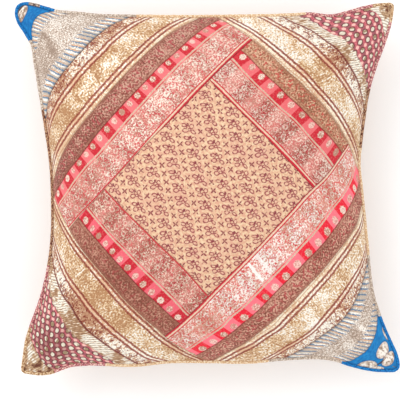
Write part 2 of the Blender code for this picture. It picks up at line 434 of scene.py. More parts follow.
class Cloth:
    """A cloth's material. It reads where each point lies on the flat cloth, in millimetres."""

    def __init__(self, name):
        self.material = bpy.data.materials.new(name)
        self.material.use_nodes = True
        self.tree = self.material.node_tree
        self.tree.nodes.clear()
        self.place = self.node("ShaderNodeAttribute", {"attribute_name": "cloth_mm"}, {}, "Vector")
        self.along, self.across, self.to_seam = (
            self.node("ShaderNodeSeparateXYZ", {}, {0: self.place}, axis) for axis in "XYZ"
        )

    def node(self, kind, settings, inputs, output=0):
        """Adds a node with its settings, gives its sockets their values or links, and returns an output."""
        made = self.tree.nodes.new(kind)
        for name, value in settings.items():
            setattr(made, name, value)
        for name, value in inputs.items():
            if isinstance(value, Value):
                self.tree.links.new(value.socket, made.inputs[name])
            else:
                made.inputs[name].default_value = value
        return Value(self, made.outputs[output]) if made.outputs else None

    def mark(self, name):
        """A number that the piece carries at each point."""
        return self.node("ShaderNodeAttribute", {"attribute_name": name}, {}, "Fac")

    def mix(self, share, colour, other):
        """From one colour to another. A colour is a value, or red, green and blue from 0 to 255."""
        inputs = {0: share, 6: linear(colour), 7: linear(other)}
        return self.node("ShaderNodeMix", {"data_type": "RGBA", "clamp_factor": True}, inputs, 2)

    def rise(self, value, start, end):
        """0 before the start and 1 after the end, smooth between them."""
        inputs = {"Value": value, "From Min": start, "From Max": end}
        return self.node("ShaderNodeMapRange", {"interpolation_type": "SMOOTHSTEP"}, inputs)

    def fall(self, value, start, end):
        return 1 - self.rise(value, start, end)

    def tones(self, value, dark, middle, bright, low, high, soft=0.06):
        """Dark below low, bright above high, and the middle colour between them."""
        colour = self.mix(self.rise(value, low - soft, low + soft), dark, middle)
        return self.mix(self.rise(value, high - soft, high + soft), colour, bright)

    def between(self, value, low, high, soft=0.25):
        """1 where the value lies between two others, with soft edges."""
        return self.rise(value, low - soft, low + soft) * self.fall(value, high - soft, high + soft)

    def line(self, value, middle, width, soft=0.3):
        return self.between(value, middle - width / 2, middle + width / 2, soft)

    def point(self, x, y):
        return self.node("ShaderNodeCombineXYZ", {}, {0: x, 1: y})

    def noise(self, size, detail=1.0, rough=0.5, at=None, stretch=1.0):
        """Uneven blotches of about this size in millimetres, mostly from 0.3 to 0.7.

        A place far from the point's own gives other blotches.
        """
        if at is None:
            at = self.place if stretch == 1.0 else self.point(self.along / stretch, self.across)
        inputs = {"Vector": at, "Scale": 1 / size, "Detail": detail, "Roughness": rough}
        return self.node("ShaderNodeTexNoise", {"noise_dimensions": "2D"}, inputs)

    def sway(self, size, reach, detail=1.0):
        """An uneven shift to either side of 0, seldom by more than a quarter of its reach."""
        return (self.noise(size, detail) - 0.5) * reach

    def oval(self, x, y, middle_x, middle_y, half_x, half_y, turn=0.0):
        """Below 1 inside an oval, 1 on its edge and more outside it."""
        cosine, sine = math.cos(math.radians(turn)), math.sin(math.radians(turn))
        dx, dy = x - middle_x, y - middle_y
        long_way = (dx * cosine + dy * sine) / half_x
        short_way = (dy * cosine - dx * sine) / half_y
        return (long_way * long_way + short_way * short_way) ** 0.5

    def angle(self, x, y):
        return self.node("ShaderNodeMath", {"operation": "ARCTAN2"}, {0: y, 1: x})

    def lattice(self, x, y, step, next_row):
        """Where a point lies from the nearest of a lattice's knots, in millimetres."""
        (ax, ay), (bx, by) = step, next_row
        turned = ax * by - ay * bx
        i = ((x * by - y * bx) / turned).offset()
        j = ((y * ax - x * ay) / turned).offset()
        return i * ax + j * bx, i * ay + j * by

    def weave(self, pitch):
        """The height of a plain weave's threads, from -1 to 1."""
        turn = math.pi / pitch
        return (self.along * turn).sine() * (self.across * turn).sine()

    def shaded_seam(self, colour, shade, share, reach):
        """A colour with painted shade where the cloth turns down into its seams."""
        return self.mix(self.fall(self.to_seam, 0.2, reach) * share, colour, shade)

    def finish(self, colour, roughness, metallic, height, depth):
        """Joins colour, gloss and relief, whose depth is in millimetres, in the cloth's surface."""
        relief = {"Height": height, "Strength": 1.0, "Distance": depth * MM}
        surface = self.node(
            "ShaderNodeBsdfPrincipled",
            {},
            {
                "Base Color": linear(colour), "Roughness": roughness, "Metallic": metallic,
                "Normal": self.node("ShaderNodeBump", {}, relief), "Sheen Weight": 0.03,
                "Sheen Roughness": 0.4, "Specular IOR Level": 0.15,
            },
        )
        self.node("ShaderNodeOutputMaterial", {}, {"Surface": surface})
        return self


def back_cloth():
    cloth = Cloth("tan_cotton")
    slub = cloth.noise(1.4, 3.0, 0.6, stretch=6.0)
    cloud = cloth.noise(38.0, 2.0, 0.5)
    colour = cloth.mix(cloth.rise(slub, 0.35, 0.7), (176, 132, 92), (198, 156, 112))
    colour = cloth.mix(cloth.rise(cloud, 0.3, 0.75) * 0.4, colour, (160, 116, 80))
    return cloth.finish(colour, 0.82, 0.0, cloth.weave(0.9) + slub * 2, 0.10)


edge_shares = spaced(2 * PANEL_HALF) * 2 - 1
back_x, back_y = np.meshgrid(edge_shares * PANEL_HALF, edge_shares * PANEL_HALF)
back_to_seam = PANEL_HALF - np.maximum(abs(back_x), abs(back_y))
back = Cut(back_x, back_y, back_x, back_y, np.maximum(back_to_seam, 0))
sew_piece("back_panel", back, back_x, back_y, back_cloth(), face=False)


# The middle panel. Peach cotton, block printed in maroon: leaning columns of small sprigs, each a bud over
# outlined leaves, and columns of small crosses between them. It is cut square, set on the diamond and sewn
# to the strips first, so the seams that all the face's pieces share are set out here.
SPRIG_START, SPRIG_STEP, SPRIG_COLUMN = (-15.6, 60.2), (2.3, -12.6), (24.5, -4.2)
CROSS_START, CROSS_STEP, CROSS_COLUMN = (-27.4, 61.0), (1.5, -8.25), (24.5, -4.2)

# The block's shapes are ovals, in millimetres from the sprig's or cross's middle and turned in degrees
Leaf = namedtuple("Leaf", "x y half_x half_y turn")
SPRIG_LEAVES = (
    Leaf(-4.1, 2.8, 2.5, 1.5, -10),
    Leaf(-2.9, -2.3, 2.6, 1.9, 8),
    Leaf(3.6, 1.6, 1.9, 2.0, 0),
    Leaf(1.3, -1.4, 1.5, 1.3, 0),
    Leaf(5.2, -3.8, 2.5, 1.5, -38),
)
SPRIG_STEMS = (Leaf(-1.5, 0.8, 2.4, 0.45, 62), Leaf(1.3, 1.7, 2.5, 0.45, -52))
SPRIG_BUD = Leaf(-0.3, 3.5, 1.3, 1.7, 0)
CROSS_ARM = Leaf(1.35, 1.25, 1.8, 0.75, 43)

# Each of the four sides has a strip, a band, a wide border and a corner. Their lines are measured out from
# the panel's middle, on the flat cloth, at places along the side, which runs clockwise. Seams: field, band,
# gold, ear. Woven lines: red, squares, cord, far_cord.
At = namedtuple("At", "along field red squares band gold cord far_cord ear")
CORNER_REACH = PANEL_HALF * math.sqrt(2)
UPPER_LEFT, UPPER_RIGHT, LOWER_RIGHT, LOWER_LEFT = 0, 1, 2, 3
SIDE_NAMES = ("upper_left", "upper_right", "lower_right", "lower_left")
OUTWARD = ((-1, 1), (1, 1), (1, -1), (-1, -1))
SEAMS = (
    (
        At(-140, 87.4, 89.2, 116.5, 130.3, 143.5, 148.5, 171.0, 185.0),
        At(-120, 84.6, 86.0, 114.0, 126.0, 141.3, 147.8, 171.0, 185.0),
        At(-100, 80.2, 81.3, 112.8, 124.5, 141.0, 147.4, 170.5, 184.5),
        At(-80, 78.5, 79.5, 110.0, 121.4, 140.0, 145.5, 169.8, 184.7),
        At(-60, 77.2, 78.2, 106.6, 119.4, 138.7, 144.0, 169.0, 185.6),
        At(-40, 76.2, 77.2, 105.6, 118.7, 136.8, 141.7, 168.3, 185.5),
        At(-20, 75.2, 76.5, 105.4, 118.4, 136.0, 141.0, 168.0, 185.5),
        At(0, 73.4, 75.8, 105.5, 118.1, 136.3, 141.0, 167.8, 185.8),
        At(20, 71.8, 75.4, 105.5, 117.8, 137.0, 141.7, 168.8, 186.0),
        At(40, 71.6, 75.7, 106.5, 118.3, 138.2, 143.0, 170.0, 185.8),
        At(60, 72.4, 76.8, 108.0, 120.2, 139.8, 144.0, 169.8, 186.0),
        At(80, 74.1, 78.2, 110.4, 121.4, 140.2, 144.5, 170.0, 186.5),
        At(100, 76.8, 80.8, 111.8, 122.7, 140.2, 145.2, 171.5, 187.0),
        At(120, 79.6, 84.0, 113.0, 124.0, 140.4, 146.0, 173.0, 187.0),
        At(140, 81.3, 85.8, 114.0, 125.5, 142.0, 147.5, 173.0, 187.0),
    ),
    (
        At(-130, 80.8, 84.0, 112.5, 124.6, 146.3, 150.5, 172.0, 188.0),
        At(-110, 80.8, 84.0, 112.5, 124.6, 144.5, 148.8, 172.0, 188.0),
        At(-90, 80.8, 84.0, 112.5, 124.6, 142.3, 148.0, 171.0, 187.5),
        At(-75, 80.8, 83.8, 112.3, 124.4, 141.3, 146.5, 170.3, 185.8),
        At(-60, 80.3, 84.2, 111.3, 123.8, 140.7, 145.6, 170.7, 187.0),
        At(-40, 80.3, 84.0, 110.8, 123.2, 140.3, 146.0, 171.5, 189.8),
        At(-20, 80.4, 84.0, 111.3, 124.5, 141.2, 147.2, 173.8, 192.7),
        At(0, 80.5, 84.3, 112.0, 125.0, 143.5, 150.0, 175.5, 192.3),
        At(20, 81.0, 85.2, 114.4, 127.8, 147.0, 152.0, 176.0, 191.6),
        At(40, 81.3, 85.8, 116.6, 131.0, 148.0, 153.0, 176.3, 192.1),
        At(60, 82.0, 87.0, 119.0, 133.8, 148.2, 153.0, 177.2, 192.0),
        At(80, 83.2, 88.3, 120.1, 136.0, 148.5, 153.3, 178.0, 191.5),
        At(100, 84.0, 89.0, 120.5, 137.0, 149.0, 154.3, 178.5, 191.0),
        At(130, 84.0, 89.0, 120.5, 137.0, 150.0, 155.5, 178.5, 191.0),
    ),
    (
        At(-150, 89.0, 92.5, 118.0, 134.5, 151.0, 156.5, 177.0, 189.0),
        At(-130, 88.8, 91.5, 118.0, 132.0, 150.0, 156.0, 177.0, 189.0),
        At(-115, 87.9, 90.5, 116.8, 130.1, 149.3, 155.0, 176.5, 189.0),
        At(-100, 85.6, 88.2, 114.9, 128.7, 148.5, 153.8, 176.0, 189.0),
        At(-85, 82.8, 85.4, 112.6, 126.8, 146.0, 150.8, 175.7, 189.0),
        At(-70, 81.2, 84.2, 112.3, 126.0, 144.0, 149.2, 175.0, 188.8),
        At(-50, 80.2, 83.7, 112.7, 125.8, 142.5, 148.0, 173.2, 189.2),
        At(-30, 78.6, 82.0, 112.5, 125.5, 143.0, 148.5, 172.9, 189.2),
        At(0, 76.9, 80.0, 111.8, 124.9, 143.5, 149.6, 173.2, 188.4),
        At(20, 75.5, 79.0, 111.0, 123.7, 143.1, 149.5, 174.8, 188.0),
        At(40, 75.0, 78.9, 110.5, 123.3, 142.5, 148.5, 176.0, 187.3),
        At(60, 75.7, 79.7, 110.0, 122.7, 141.3, 148.8, 173.7, 186.8),
        At(75, 76.9, 80.8, 109.4, 121.5, 140.0, 145.8, 171.3, 186.4),
        At(90, 78.3, 82.5, 111.4, 121.7, 139.0, 144.0, 171.0, 186.5),
        At(105, 79.9, 83.8, 111.0, 122.0, 137.9, 141.5, 170.5, 187.5),
        At(120, 81.2, 85.2, 110.2, 122.0, 138.0, 142.0, 171.0, 189.0),
        At(140, 81.8, 86.0, 110.5, 122.2, 141.0, 145.0, 172.0, 189.0),
    ),
    (
        At(-130, 75.0, 76.0, 105.5, 117.2, 141.0, 142.5, 166.0, 183.0),
        At(-110, 75.0, 76.0, 105.5, 117.2, 140.2, 143.0, 165.5, 183.0),
        At(-90, 75.0, 76.0, 105.5, 117.2, 139.8, 141.3, 167.0, 184.0),
        At(-75, 75.0, 75.9, 105.3, 117.1, 136.6, 139.5, 165.0, 182.9),
        At(-60, 74.2, 75.0, 103.8, 116.7, 135.3, 137.3, 163.3, 183.3),
        At(-40, 73.5, 74.3, 103.3, 116.2, 134.7, 137.0, 163.8, 184.0),
        At(-20, 74.0, 74.8, 103.3, 117.2, 136.0, 138.0, 165.0, 184.8),
        At(0, 74.6, 75.4, 104.2, 118.0, 137.1, 139.0, 166.5, 183.4),
        At(20, 74.9, 75.7, 105.8, 119.8, 138.5, 140.6, 166.5, 181.7),
        At(40, 76.2, 77.1, 108.3, 121.2, 139.8, 141.7, 166.8, 183.0),
        At(60, 77.8, 78.6, 109.3, 122.5, 140.3, 142.3, 167.5, 183.3),
        At(80, 78.6, 79.5, 109.5, 122.5, 140.3, 143.3, 168.3, 183.0),
        At(100, 79.0, 80.0, 110.0, 122.5, 140.7, 145.0, 169.0, 183.0),
        At(130, 79.0, 80.0, 110.0, 122.5, 143.0, 147.0, 169.0, 183.0),
    ),
)


def sewn_line(side, line):
    """How far out a line lies, as a function of the place along its side."""
    rows = SEAMS[side]
    along, out = [row.along for row in rows], [getattr(row, line) for row in rows]
    return lambda where: smooth(along, out, where)


def flat_point(side, along, out):
    """A side's own measures as flat x and y. Along runs clockwise round the cushion."""
    out_x, out_y = np.array(OUTWARD[side]) / math.sqrt(2)
    return along * out_y + out * out_x, -along * out_x + out * out_y


def right_end(side, line):
    """Where a line of the next side clockwise ends this side's pieces, as a function of out."""
    crossing = sewn_line((side + 1) % 4, line)
    return lambda out: np.minimum(crossing(-out), CORNER_REACH - out)


def left_end(side, line):
    """Where a line of the side before ends this side's pieces, as a function of out."""
    crossing = sewn_line((side - 1) % 4, line)
    return lambda out: np.maximum(-crossing(out), out - CORNER_REACH)


def cushion_left(out):
    return out - CORNER_REACH


def cushion_right(out):
    return CORNER_REACH - out


# A piece's ends are found where its rows meet the lines that end it, nearer in each round
MIDDLE_PLACES = np.linspace(-60, 60, 7)
FIRST_GUESS = 50.0
ROUNDS = 30


def cut(side, inner, outer, left=cushion_left, right=cushion_right):
    """A piece's flat points, in rows from its inner line to its outer one, each from left to right."""
    across = spaced(float(np.max(outer(MIDDLE_PLACES) - inner(MIDDLE_PLACES))))[:, None]
    start, end = np.full_like(across, -FIRST_GUESS), np.full_like(across, FIRST_GUESS)
    for _ in range(ROUNDS):
        start = (start + left(inner(start) * (1 - across) + outer(start) * across)) / 2
        end = (end + right(inner(end) * (1 - across) + outer(end) * across)) / 2
    end = np.maximum(end, start)
    shares = spaced(float(np.max(end - start)))[None, :]
    along = start + (end - start) * shares
    out = inner(along) * (1 - across) + outer(along) * across
    to_seam = np.minimum.reduce([out - inner(along), outer(along) - out, along - start, end - along])
    return Cut(along, out, *flat_point(side, along, out), np.maximum(to_seam, 0))


def field_cloth():
    cloth = Cloth("block_printed_cotton")
    x, y = cloth.along + cloth.noise(5.0) * 1.4, cloth.across + cloth.noise(6.0) * 1.4

    def filled(leaf, dx, dy):
        return cloth.fall(cloth.oval(dx, dy, *leaf), 0.75, 1.25)

    dx, dy = cloth.lattice(x - SPRIG_START[0], y - SPRIG_START[1], SPRIG_STEP, SPRIG_COLUMN)
    outline, inside = 0.0, 0.0
    for leaf in SPRIG_LEAVES:
        edge = cloth.oval(dx, dy, *leaf)
        outline = cloth.fall(abs(edge - 1) * leaf.half_y, 0.25, 0.75).most(outline)
        inside = cloth.fall(edge, 0.6, 0.9).most(inside)
    for stem in SPRIG_STEMS:
        outline = filled(stem, dx, dy).most(outline)
    bud = filled(SPRIG_BUD, dx, dy)
    dx, dy = cloth.lattice(x - CROSS_START[0], y - CROSS_START[1], CROSS_STEP, CROSS_COLUMN)
    cross = filled(CROSS_ARM, abs(dx), abs(dy))
    wear = cloth.noise(2.2)
    mottle = cloth.noise(3.0, 2.0, 0.6)
    colour = cloth.tones(mottle, (226, 172, 144), (232, 190, 154), (242, 210, 174), 0.44, 0.56, 0.08)
    colour = cloth.mix(cloth.rise(cloth.noise(22.0, 2.0), 0.45, 0.72) * 0.5, colour, (230, 178, 152))
    colour = cloth.mix(inside * cloth.rise(wear, 0.40, 0.55) * 0.5, colour, (234, 170, 154))
    colour = cloth.mix(outline * cloth.rise(wear, 0.18, 0.48) * 0.9, colour, (146, 58, 70))
    colour = cloth.mix(bud.most(cross) * cloth.rise(wear, 0.22, 0.45) * 0.9, colour, (132, 46, 62))
    return cloth.finish(colour, 0.72, 0.0, cloth.weave(0.8) + mottle, 0.09)


def field_inner(along):
    return -sewn_line(LOWER_RIGHT, "field")(-along)


field = cut(
    UPPER_LEFT, field_inner, sewn_line(UPPER_LEFT, "field"),
    left_end(UPPER_LEFT, "field"), right_end(UPPER_LEFT, "field"),
)
sew_piece("middle_panel", field, field.flat_x, field.flat_y, field_cloth())


# The four brocade strips. Each is the edge of a woven silk: two red cords, a brocade of zari scrolls, and a
# run of red and pink squares with a flower on each. Two run through to the borders and two stop between.
Mark = namedtuple("Mark", "line width")
STRIP_MARKS = (Mark("red", 3.2), Mark("squares", 33.8), Mark("band", 46.0))

# What is woven across a strip, in millimetres from its inner seam
RED_EDGE, CREAM_CORD = (0.6, 1.2), (1.1, 2.6)
FOLDED, BROCADE_END = (4.5, 28.5), (30.0, 30.6)
SQUARES_START, OUTER_EDGE = (33.5, 34.0), (44.9, 45.7)
ROSETTE_START, ROSETTE_STEP, ROSETTE_ROW = 3.0, (10.2, 0.0), (5.1, 8.8)
WovenLine = namedtuple("WovenLine", "middle width cover yarn")
STRIP_LINES = (
    WovenLine(3.3, 1.2, 0.95, "red"), WovenLine(29.9, 1.0, 0.60, "cord"),
    WovenLine(31.2, 1.4, 0.85, "squares"), WovenLine(32.7, 1.5, 0.95, "cord"),
)

# Where the squares start along each side, a pink one first
SQUARES = (
    (
        -151.0, -138.5, -125.0, -114.0, -99.5, -89.3, -75.5, -63.5, -51.5, -38.0, -25.0, -12.5, 1.0,
        12.5, 25.0, 36.0, 48.0, 60.0, 70.0, 82.5, 95.0, 105.5, 115.0, 127.5, 138.0, 150.0,
    ),
    (
        -95.0, -79.5, -64.0, -47.5, -33.0, -18.0, -2.0, 14.5, 30.0, 43.5, 60.0, 73.0, 88.0, 103.0,
    ),
    (
        -147.0, -132.0, -119.5, -102.5, -87.0, -71.0, -54.0, -36.5, -19.0, -1.0, 15.5, 31.0, 43.5,
        60.0, 75.5, 90.5, 104.5, 119.5, 134.5, 149.0,
    ),
    (
        -93.0, -80.0, -67.5, -54.0, -39.0, -25.5, -12.5, -0.5, 12.0, 24.0, 35.0, 46.0, 57.5, 67.5,
        82.0, 94.0,
    ),
)
MEAN_SQUARE = (12.4, 15.3, 15.8, 12.5)
FLOWER_MIDDLE = 41.5
FLOWER_HALF = (3.2, 3.5, 4.0, 3.3)

# Each strip's own yarns: ground, pale scrolls, red curls and dark flecks, the squares' two colours, and how
# far these tint the warp
Brocade = namedtuple("Brocade", "ground pale curl fleck pink red tint")
BROCADES = (
    Brocade(
        ground=(240, 188, 170), pale=(253, 243, 226), curl=(208, 44, 64), fleck=(182, 134, 116),
        pink=(236, 118, 122), red=(206, 42, 56), tint=0.40,
    ),
    Brocade(
        ground=(234, 182, 164), pale=(253, 241, 224), curl=(182, 34, 50), fleck=(154, 108, 90),
        pink=(234, 110, 114), red=(206, 42, 56), tint=0.75,
    ),
    # The lower right squares are painted brighter, to make up for less lamp light on that side
    Brocade(
        ground=(245, 206, 186), pale=(255, 254, 246), curl=(220, 46, 60), fleck=(200, 152, 130),
        pink=(255, 120, 134), red=(238, 36, 58), tint=0.40,
    ),
    Brocade(
        ground=(225, 172, 154), pale=(247, 226, 204), curl=(184, 42, 56), fleck=(160, 114, 94),
        pink=(238, 102, 116), red=(204, 38, 54), tint=0.50,
    ),
)

# Folds pressed across a strip, painted pale as a highlight where they catch the light. Each leans this far
# along for a millimetre across
Fold = namedtuple("Fold", "along lean width worn")
GLINTING_FOLDS = {LOWER_RIGHT: (Fold(22.8, 0.14, 3.0, 0.95), Fold(12.2, 0.08, 3.8, 0.7))}

# Painted light and shade, where the stuffed cloth turns to the lamp or away from it. One row of lifts for
# each side
Shine = namedtuple("Shine", "along out half_along half_out lift")
SHINES = (
    (
        Shine(-100, 98, 34, 18, -0.7), Shine(30, 98, 70, 18, 0.5), Shine(-90, 160, 36, 26, -0.3),
        Shine(24, 157, 20, 22, 0.8), Shine(70, 155, 16, 24, 0.6), Shine(-18, 150, 16, 15, 0.4),
        Shine(-60, 124, 60, 10, -0.5), Shine(50, 124, 70, 10, 0.7), Shine(20, 224, 16, 12, 0.9),
        Shine(-9, 222, 5, 8, -1.8), Shine(-18, 207, 5, 9, -1.8), Shine(3, 212, 8, 12, 0.9),
        Shine(30, 200, 16, 9, 0.5), Shine(-36, 208, 14, 16, -0.9), Shine(10, 180, 16, 7, 0.8),
        Shine(-40, 180, 20, 7, -0.8), Shine(60, 180, 20, 8, -0.7), Shine(-6, 246, 50, 14, -1.2),
        Shine(108, 158, 22, 22, 0.8),
    ),
    (
        Shine(-72, 98, 10, 18, 0.8), Shine(-20, 98, 12, 18, -0.4), Shine(-82, 162, 34, 28, 0.8),
        Shine(4, 162, 26, 26, -0.9), Shine(52, 160, 12, 22, 0.8), Shine(-62, 118, 24, 10, 0.6),
        Shine(20, 118, 30, 10, -0.5), Shine(76, 118, 18, 10, 0.9), Shine(0, 198, 12, 7, -1.4),
        Shine(-34, 202, 26, 10, 0.6), Shine(28, 202, 22, 9, 1.0), Shine(-12, 252, 8, 5, 2.8),
        Shine(14, 252, 8, 6, 3.0), Shine(1, 265, 14, 3, -2.0), Shine(-3, 183, 14, 7, -1.4),
        Shine(43, 183, 14, 8, 0.7), Shine(-46, 184, 16, 7, 0.6), Shine(84, 183, 18, 8, -0.6),
    ),
    (
        Shine(-98, 98, 14, 16, -0.6), Shine(18, 98, 52, 18, 0.9), Shine(98, 98, 18, 16, -0.8),
        Shine(-5, 150, 15, 16, 0.5), Shine(42, 178, 12, 12, 0.8), Shine(78, 166, 30, 24, -0.6),
        Shine(-96, 125, 26, 10, 0.5), Shine(-48, 125, 18, 10, -0.6), Shine(26, 125, 28, 10, 0.6),
        Shine(72, 125, 18, 10, -0.6), Shine(-2, 204, 9, 8, -1.3), Shine(34, 199, 12, 7, -0.6),
        Shine(-20, 182, 14, 6, -0.8), Shine(22, 181, 14, 6, 0.8), Shine(0, 246, 60, 12, 1.2),
        Shine(-14, 211, 4, 10, 2.2), Shine(25, 209, 9, 5, 1.4), Shine(12, 192, 7, 5, 1.2),
    ),
    (
        Shine(-86, 162, 20, 24, 0.9), Shine(0, 156, 32, 26, -1.2), Shine(54, 176, 14, 12, 0.8),
        Shine(86, 152, 20, 20, 0.5), Shine(-8, 118, 36, 10, -0.6), Shine(76, 118, 20, 10, 0.6),
        Shine(-6, 190, 12, 7, -1.3), Shine(-44, 190, 18, 8, 0.9), Shine(30, 190, 16, 10, 1.1),
        Shine(12, 248, 15, 8, 1.4), Shine(-22, 252, 16, 9, -0.8), Shine(3, 274, 6, 4, -3.0),
        Shine(9, 264, 6, 4, 1.4), Shine(-14, 176, 18, 7, -0.8), Shine(20, 176, 16, 7, -0.6),
        Shine(56, 176, 18, 7, 0.8), Shine(-60, 176, 22, 7, 0.8), Shine(0, 222, 50, 24, -1.1),
    ),
)


def shine_at(side, piece):
    """How much painted light each point of a piece gets over the rest of its cloth, about -1 to 1; below 0
    it is painted shade.
    """
    lift = np.zeros_like(piece.along)
    for row in SHINES[side]:
        along, out = (piece.along - row.along) / row.half_along, (piece.out - row.out) / row.half_out
        lift += row.lift * np.exp(-(along**2 + out**2))
    return lift


def across_marks(side, piece, marks):
    """The place across a woven cloth, where its marks lie on the side's lines."""
    outs = [sewn_line(side, mark.line)(piece.along) for mark in marks]
    across = marks[0].width - (outs[0] - piece.out)
    for before, after, near, far in zip(marks, marks[1:], outs, outs[1:]):
        share = (piece.out - near) / (far - near)
        across = np.where(share > 0, before.width + share * (after.width - before.width), across)
    return across


def square_count(side, along):
    """The count of squares passed, with the share of the one that each place lies in."""
    return np.interp(along, SQUARES[side], np.arange(len(SQUARES[side]))) + 1


def cut_between(side, inner, outer):
    """A piece between two seams. Two sides' run through to the borders, and two stop between those."""
    stops = "gold" if side in (UPPER_LEFT, LOWER_RIGHT) else "field"
    ends = left_end(side, stops), right_end(side, stops)
    return cut(side, sewn_line(side, inner), sewn_line(side, outer), *ends)


# The four sides' cloths lie this far apart, in millimetres, so that no side's flecks repeat another's
SIDES_APART = 400


def sew_on(kind, side, piece, pattern_across, cloth, **marks):
    """Sews on one side's piece, with its painted shine and with its pattern on that side's stretch of the
    cloth.
    """
    marks["shine"] = shine_at(side, piece)
    pattern_along = piece.along + SIDES_APART * side
    sew_piece(f"{kind}_{SIDE_NAMES[side]}", piece, pattern_along, pattern_across, cloth, marks=marks)


def strip_cloth(side):
    cloth = Cloth("brocade_strip_" + SIDE_NAMES[side])
    along, across, square, shine = cloth.along, cloth.across, cloth.mark("square"), cloth.mark("shine")
    yarns = BROCADES[side]
    red_square = cloth.rise((square * math.pi).sine(), -0.06, 0.06)
    grain = cloth.noise(1.9)
    fleck = cloth.noise(1.8, at=cloth.point(along + 37.0, across * 1.1))
    vine = cloth.noise(4.6, at=cloth.point(along, across + 53.0))
    x, y = along + cloth.sway(5.0, 3.0), across + (vine - 0.5) * 3.0
    dx, dy = cloth.lattice(x, y - ROSETTE_START, ROSETTE_STEP, ROSETTE_ROW)
    reach = (dx * dx + dy * dy) ** 0.5
    rosette = reach - (cloth.angle(dx, dy) * 8).sine() * 0.4
    in_rosette = cloth.fall(rosette, 2.6, 3.2)
    lit = fleck + (shine - 0.4) * 0.18 + cloth.sway(14.0, 0.55, 2.0) + in_rosette * 0.03
    brocade = cloth.tones(lit, yarns.fleck, yarns.ground, yarns.pale, 0.41, 0.54, 0.03)
    brocade = cloth.mix(cloth.line(rosette, 3.7, 0.7) * 0.6, brocade, yarns.fleck)
    brocade = cloth.mix(cloth.line(rosette, 2.4, 0.7) * 0.5, brocade, yarns.pale)
    curls = cloth.line(vine, 0.5, 0.12, 0.03) * (1 - in_rosette) * cloth.rise(grain, 0.38, 0.50)
    brocade = cloth.mix(curls * 0.9, brocade, yarns.curl)
    hearts = cloth.fall(reach, 0.7, 1.4).most(cloth.rise(vine, 0.66, 0.70))
    brocade = cloth.mix(hearts * 0.65, brocade, (206, 40, 60))
    tinted = cloth.rise((square * math.pi).sine() + cloth.sway(7.0, 2), -0.5, 0.5)
    brocade = cloth.mix((1 - tinted) * yarns.tint * 0.5, brocade, (250, 168, 156))
    brocade = cloth.mix(tinted * yarns.tint * 0.35, brocade, (172, 82, 74))
    # Painted highlight: each fold's streak is painted near-white
    for fold in GLINTING_FOLDS.get(side, ()):
        off_fold = abs(along - SIDES_APART * side - fold.along - across * fold.lean)
        worn = cloth.fall(off_fold, fold.width / 2 - 0.4, fold.width / 2 + 0.4) * fold.worn
        brocade = cloth.mix(worn * cloth.between(across, *FOLDED, 0.5), brocade, (255, 251, 244))

    checks = cloth.mix(red_square, yarns.pink, yarns.red)
    squares = cloth.mix(cloth.rise(grain, 0.50, 0.70) * 0.2, checks, (240, 160, 150))
    fx, fy = (square - 0.5).offset() * MEAN_SQUARE[side], across - FLOWER_MIDDLE
    turn = cloth.angle(fx, fy)
    bloom = cloth.oval(fx, fy, 0.0, 0.0, FLOWER_HALF[side], FLOWER_HALF[side]) + (turn * 8).sine() * 0.1
    inside = cloth.fall(bloom, 0.85, 1.1)
    each = cloth.noise(1.0, 0.0, at=cloth.point(square.math("FLOOR") * 3.7, 0.5)) + shine * 0.1
    petals = cloth.mix(cloth.rise(each + (grain - 0.5) * 1.6, 0.25, 0.75), (188, 150, 126), (250, 232, 214))
    notches = cloth.fall(abs((turn * 4 + 0.8).sine()), 0.1, 0.45) * cloth.between(bloom, 0.5, 0.95, 0.1)
    petals = cloth.mix(notches.most(cloth.line(bloom, 0.36, 0.14, 0.12)) * 0.7, petals, (186, 84, 80))
    squares = cloth.mix(inside * (red_square * 0.2 + 0.75), squares, petals)
    colour = cloth.mix(cloth.rise(across, *SQUARES_START), brocade, squares)

    cream = cloth.mix(grain, (222, 184, 152), (255, 236, 204))
    cord = cloth.mix(grain, (196, 152, 130), (240, 208, 182))
    threads = {"red": (208, 44, 60), "cord": cord, "squares": checks}
    colour = cloth.mix(cloth.between(across, *CREAM_CORD) * 0.85, colour, cream)
    colour = cloth.mix(cloth.fall(across, *RED_EDGE) * 0.95, colour, threads["red"])
    for line in STRIP_LINES:
        cover = cloth.line(across, line.middle, line.width) * line.cover
        colour = cloth.mix(cover, colour, threads[line.yarn])
    colour = cloth.mix(cloth.rise(across, *OUTER_EDGE) * 0.7, colour, (158, 36, 46))
    colour = cloth.shaded_seam(colour, (130, 40, 40), 0.4, 1.2)
    zari = (cloth.rise(lit, 0.50, 0.56) * cloth.fall(across, *BROCADE_END)).most(inside * 0.5)
    height = cloth.weave(0.9) * 0.5 + zari * 1.2 + grain
    return cloth.finish(colour, 0.62 - zari * 0.2, zari * 0.2, height, 0.14)


for side in range(4):
    strip = cut_between(side, "field", "band")
    sew_on(
        "brocade_strip", side, strip, across_marks(side, strip, STRIP_MARKS), strip_cloth(side),
        square=square_count(side, strip.along),
    )


# The four maroon bands. Narrow ribbon woven with nested diamonds, each round a small medallion, in tan and
# rose yarn. It is sewn on flat, outside the strips. The upper right one is of a lighter, tanner yarn.
BAND_WIDTH = 18.0
BAND_MARKS = (Mark("band", 0.0), Mark("gold", BAND_WIDTH))
FIGURED, EDGE_THREADS = (2.6, 15.4), (2.4, 15.8)
MEDALLION_PITCH = 16.8
NEST_PITCH = 3.8
Ribbon = namedtuple("Ribbon", "dark ground light rose figure")
RIBBONS = (
    Ribbon((126, 72, 60), (168, 110, 92), (212, 164, 144), (178, 66, 74), 0.9),
    Ribbon((146, 96, 70), (190, 136, 106), (228, 184, 152), (200, 72, 66), 0.9),
    Ribbon((132, 74, 60), (179, 120, 101), (223, 172, 149), (182, 70, 73), 0.9),
    Ribbon((130, 76, 60), (168, 109, 90), (202, 147, 126), (162, 60, 62), 0.7),
)


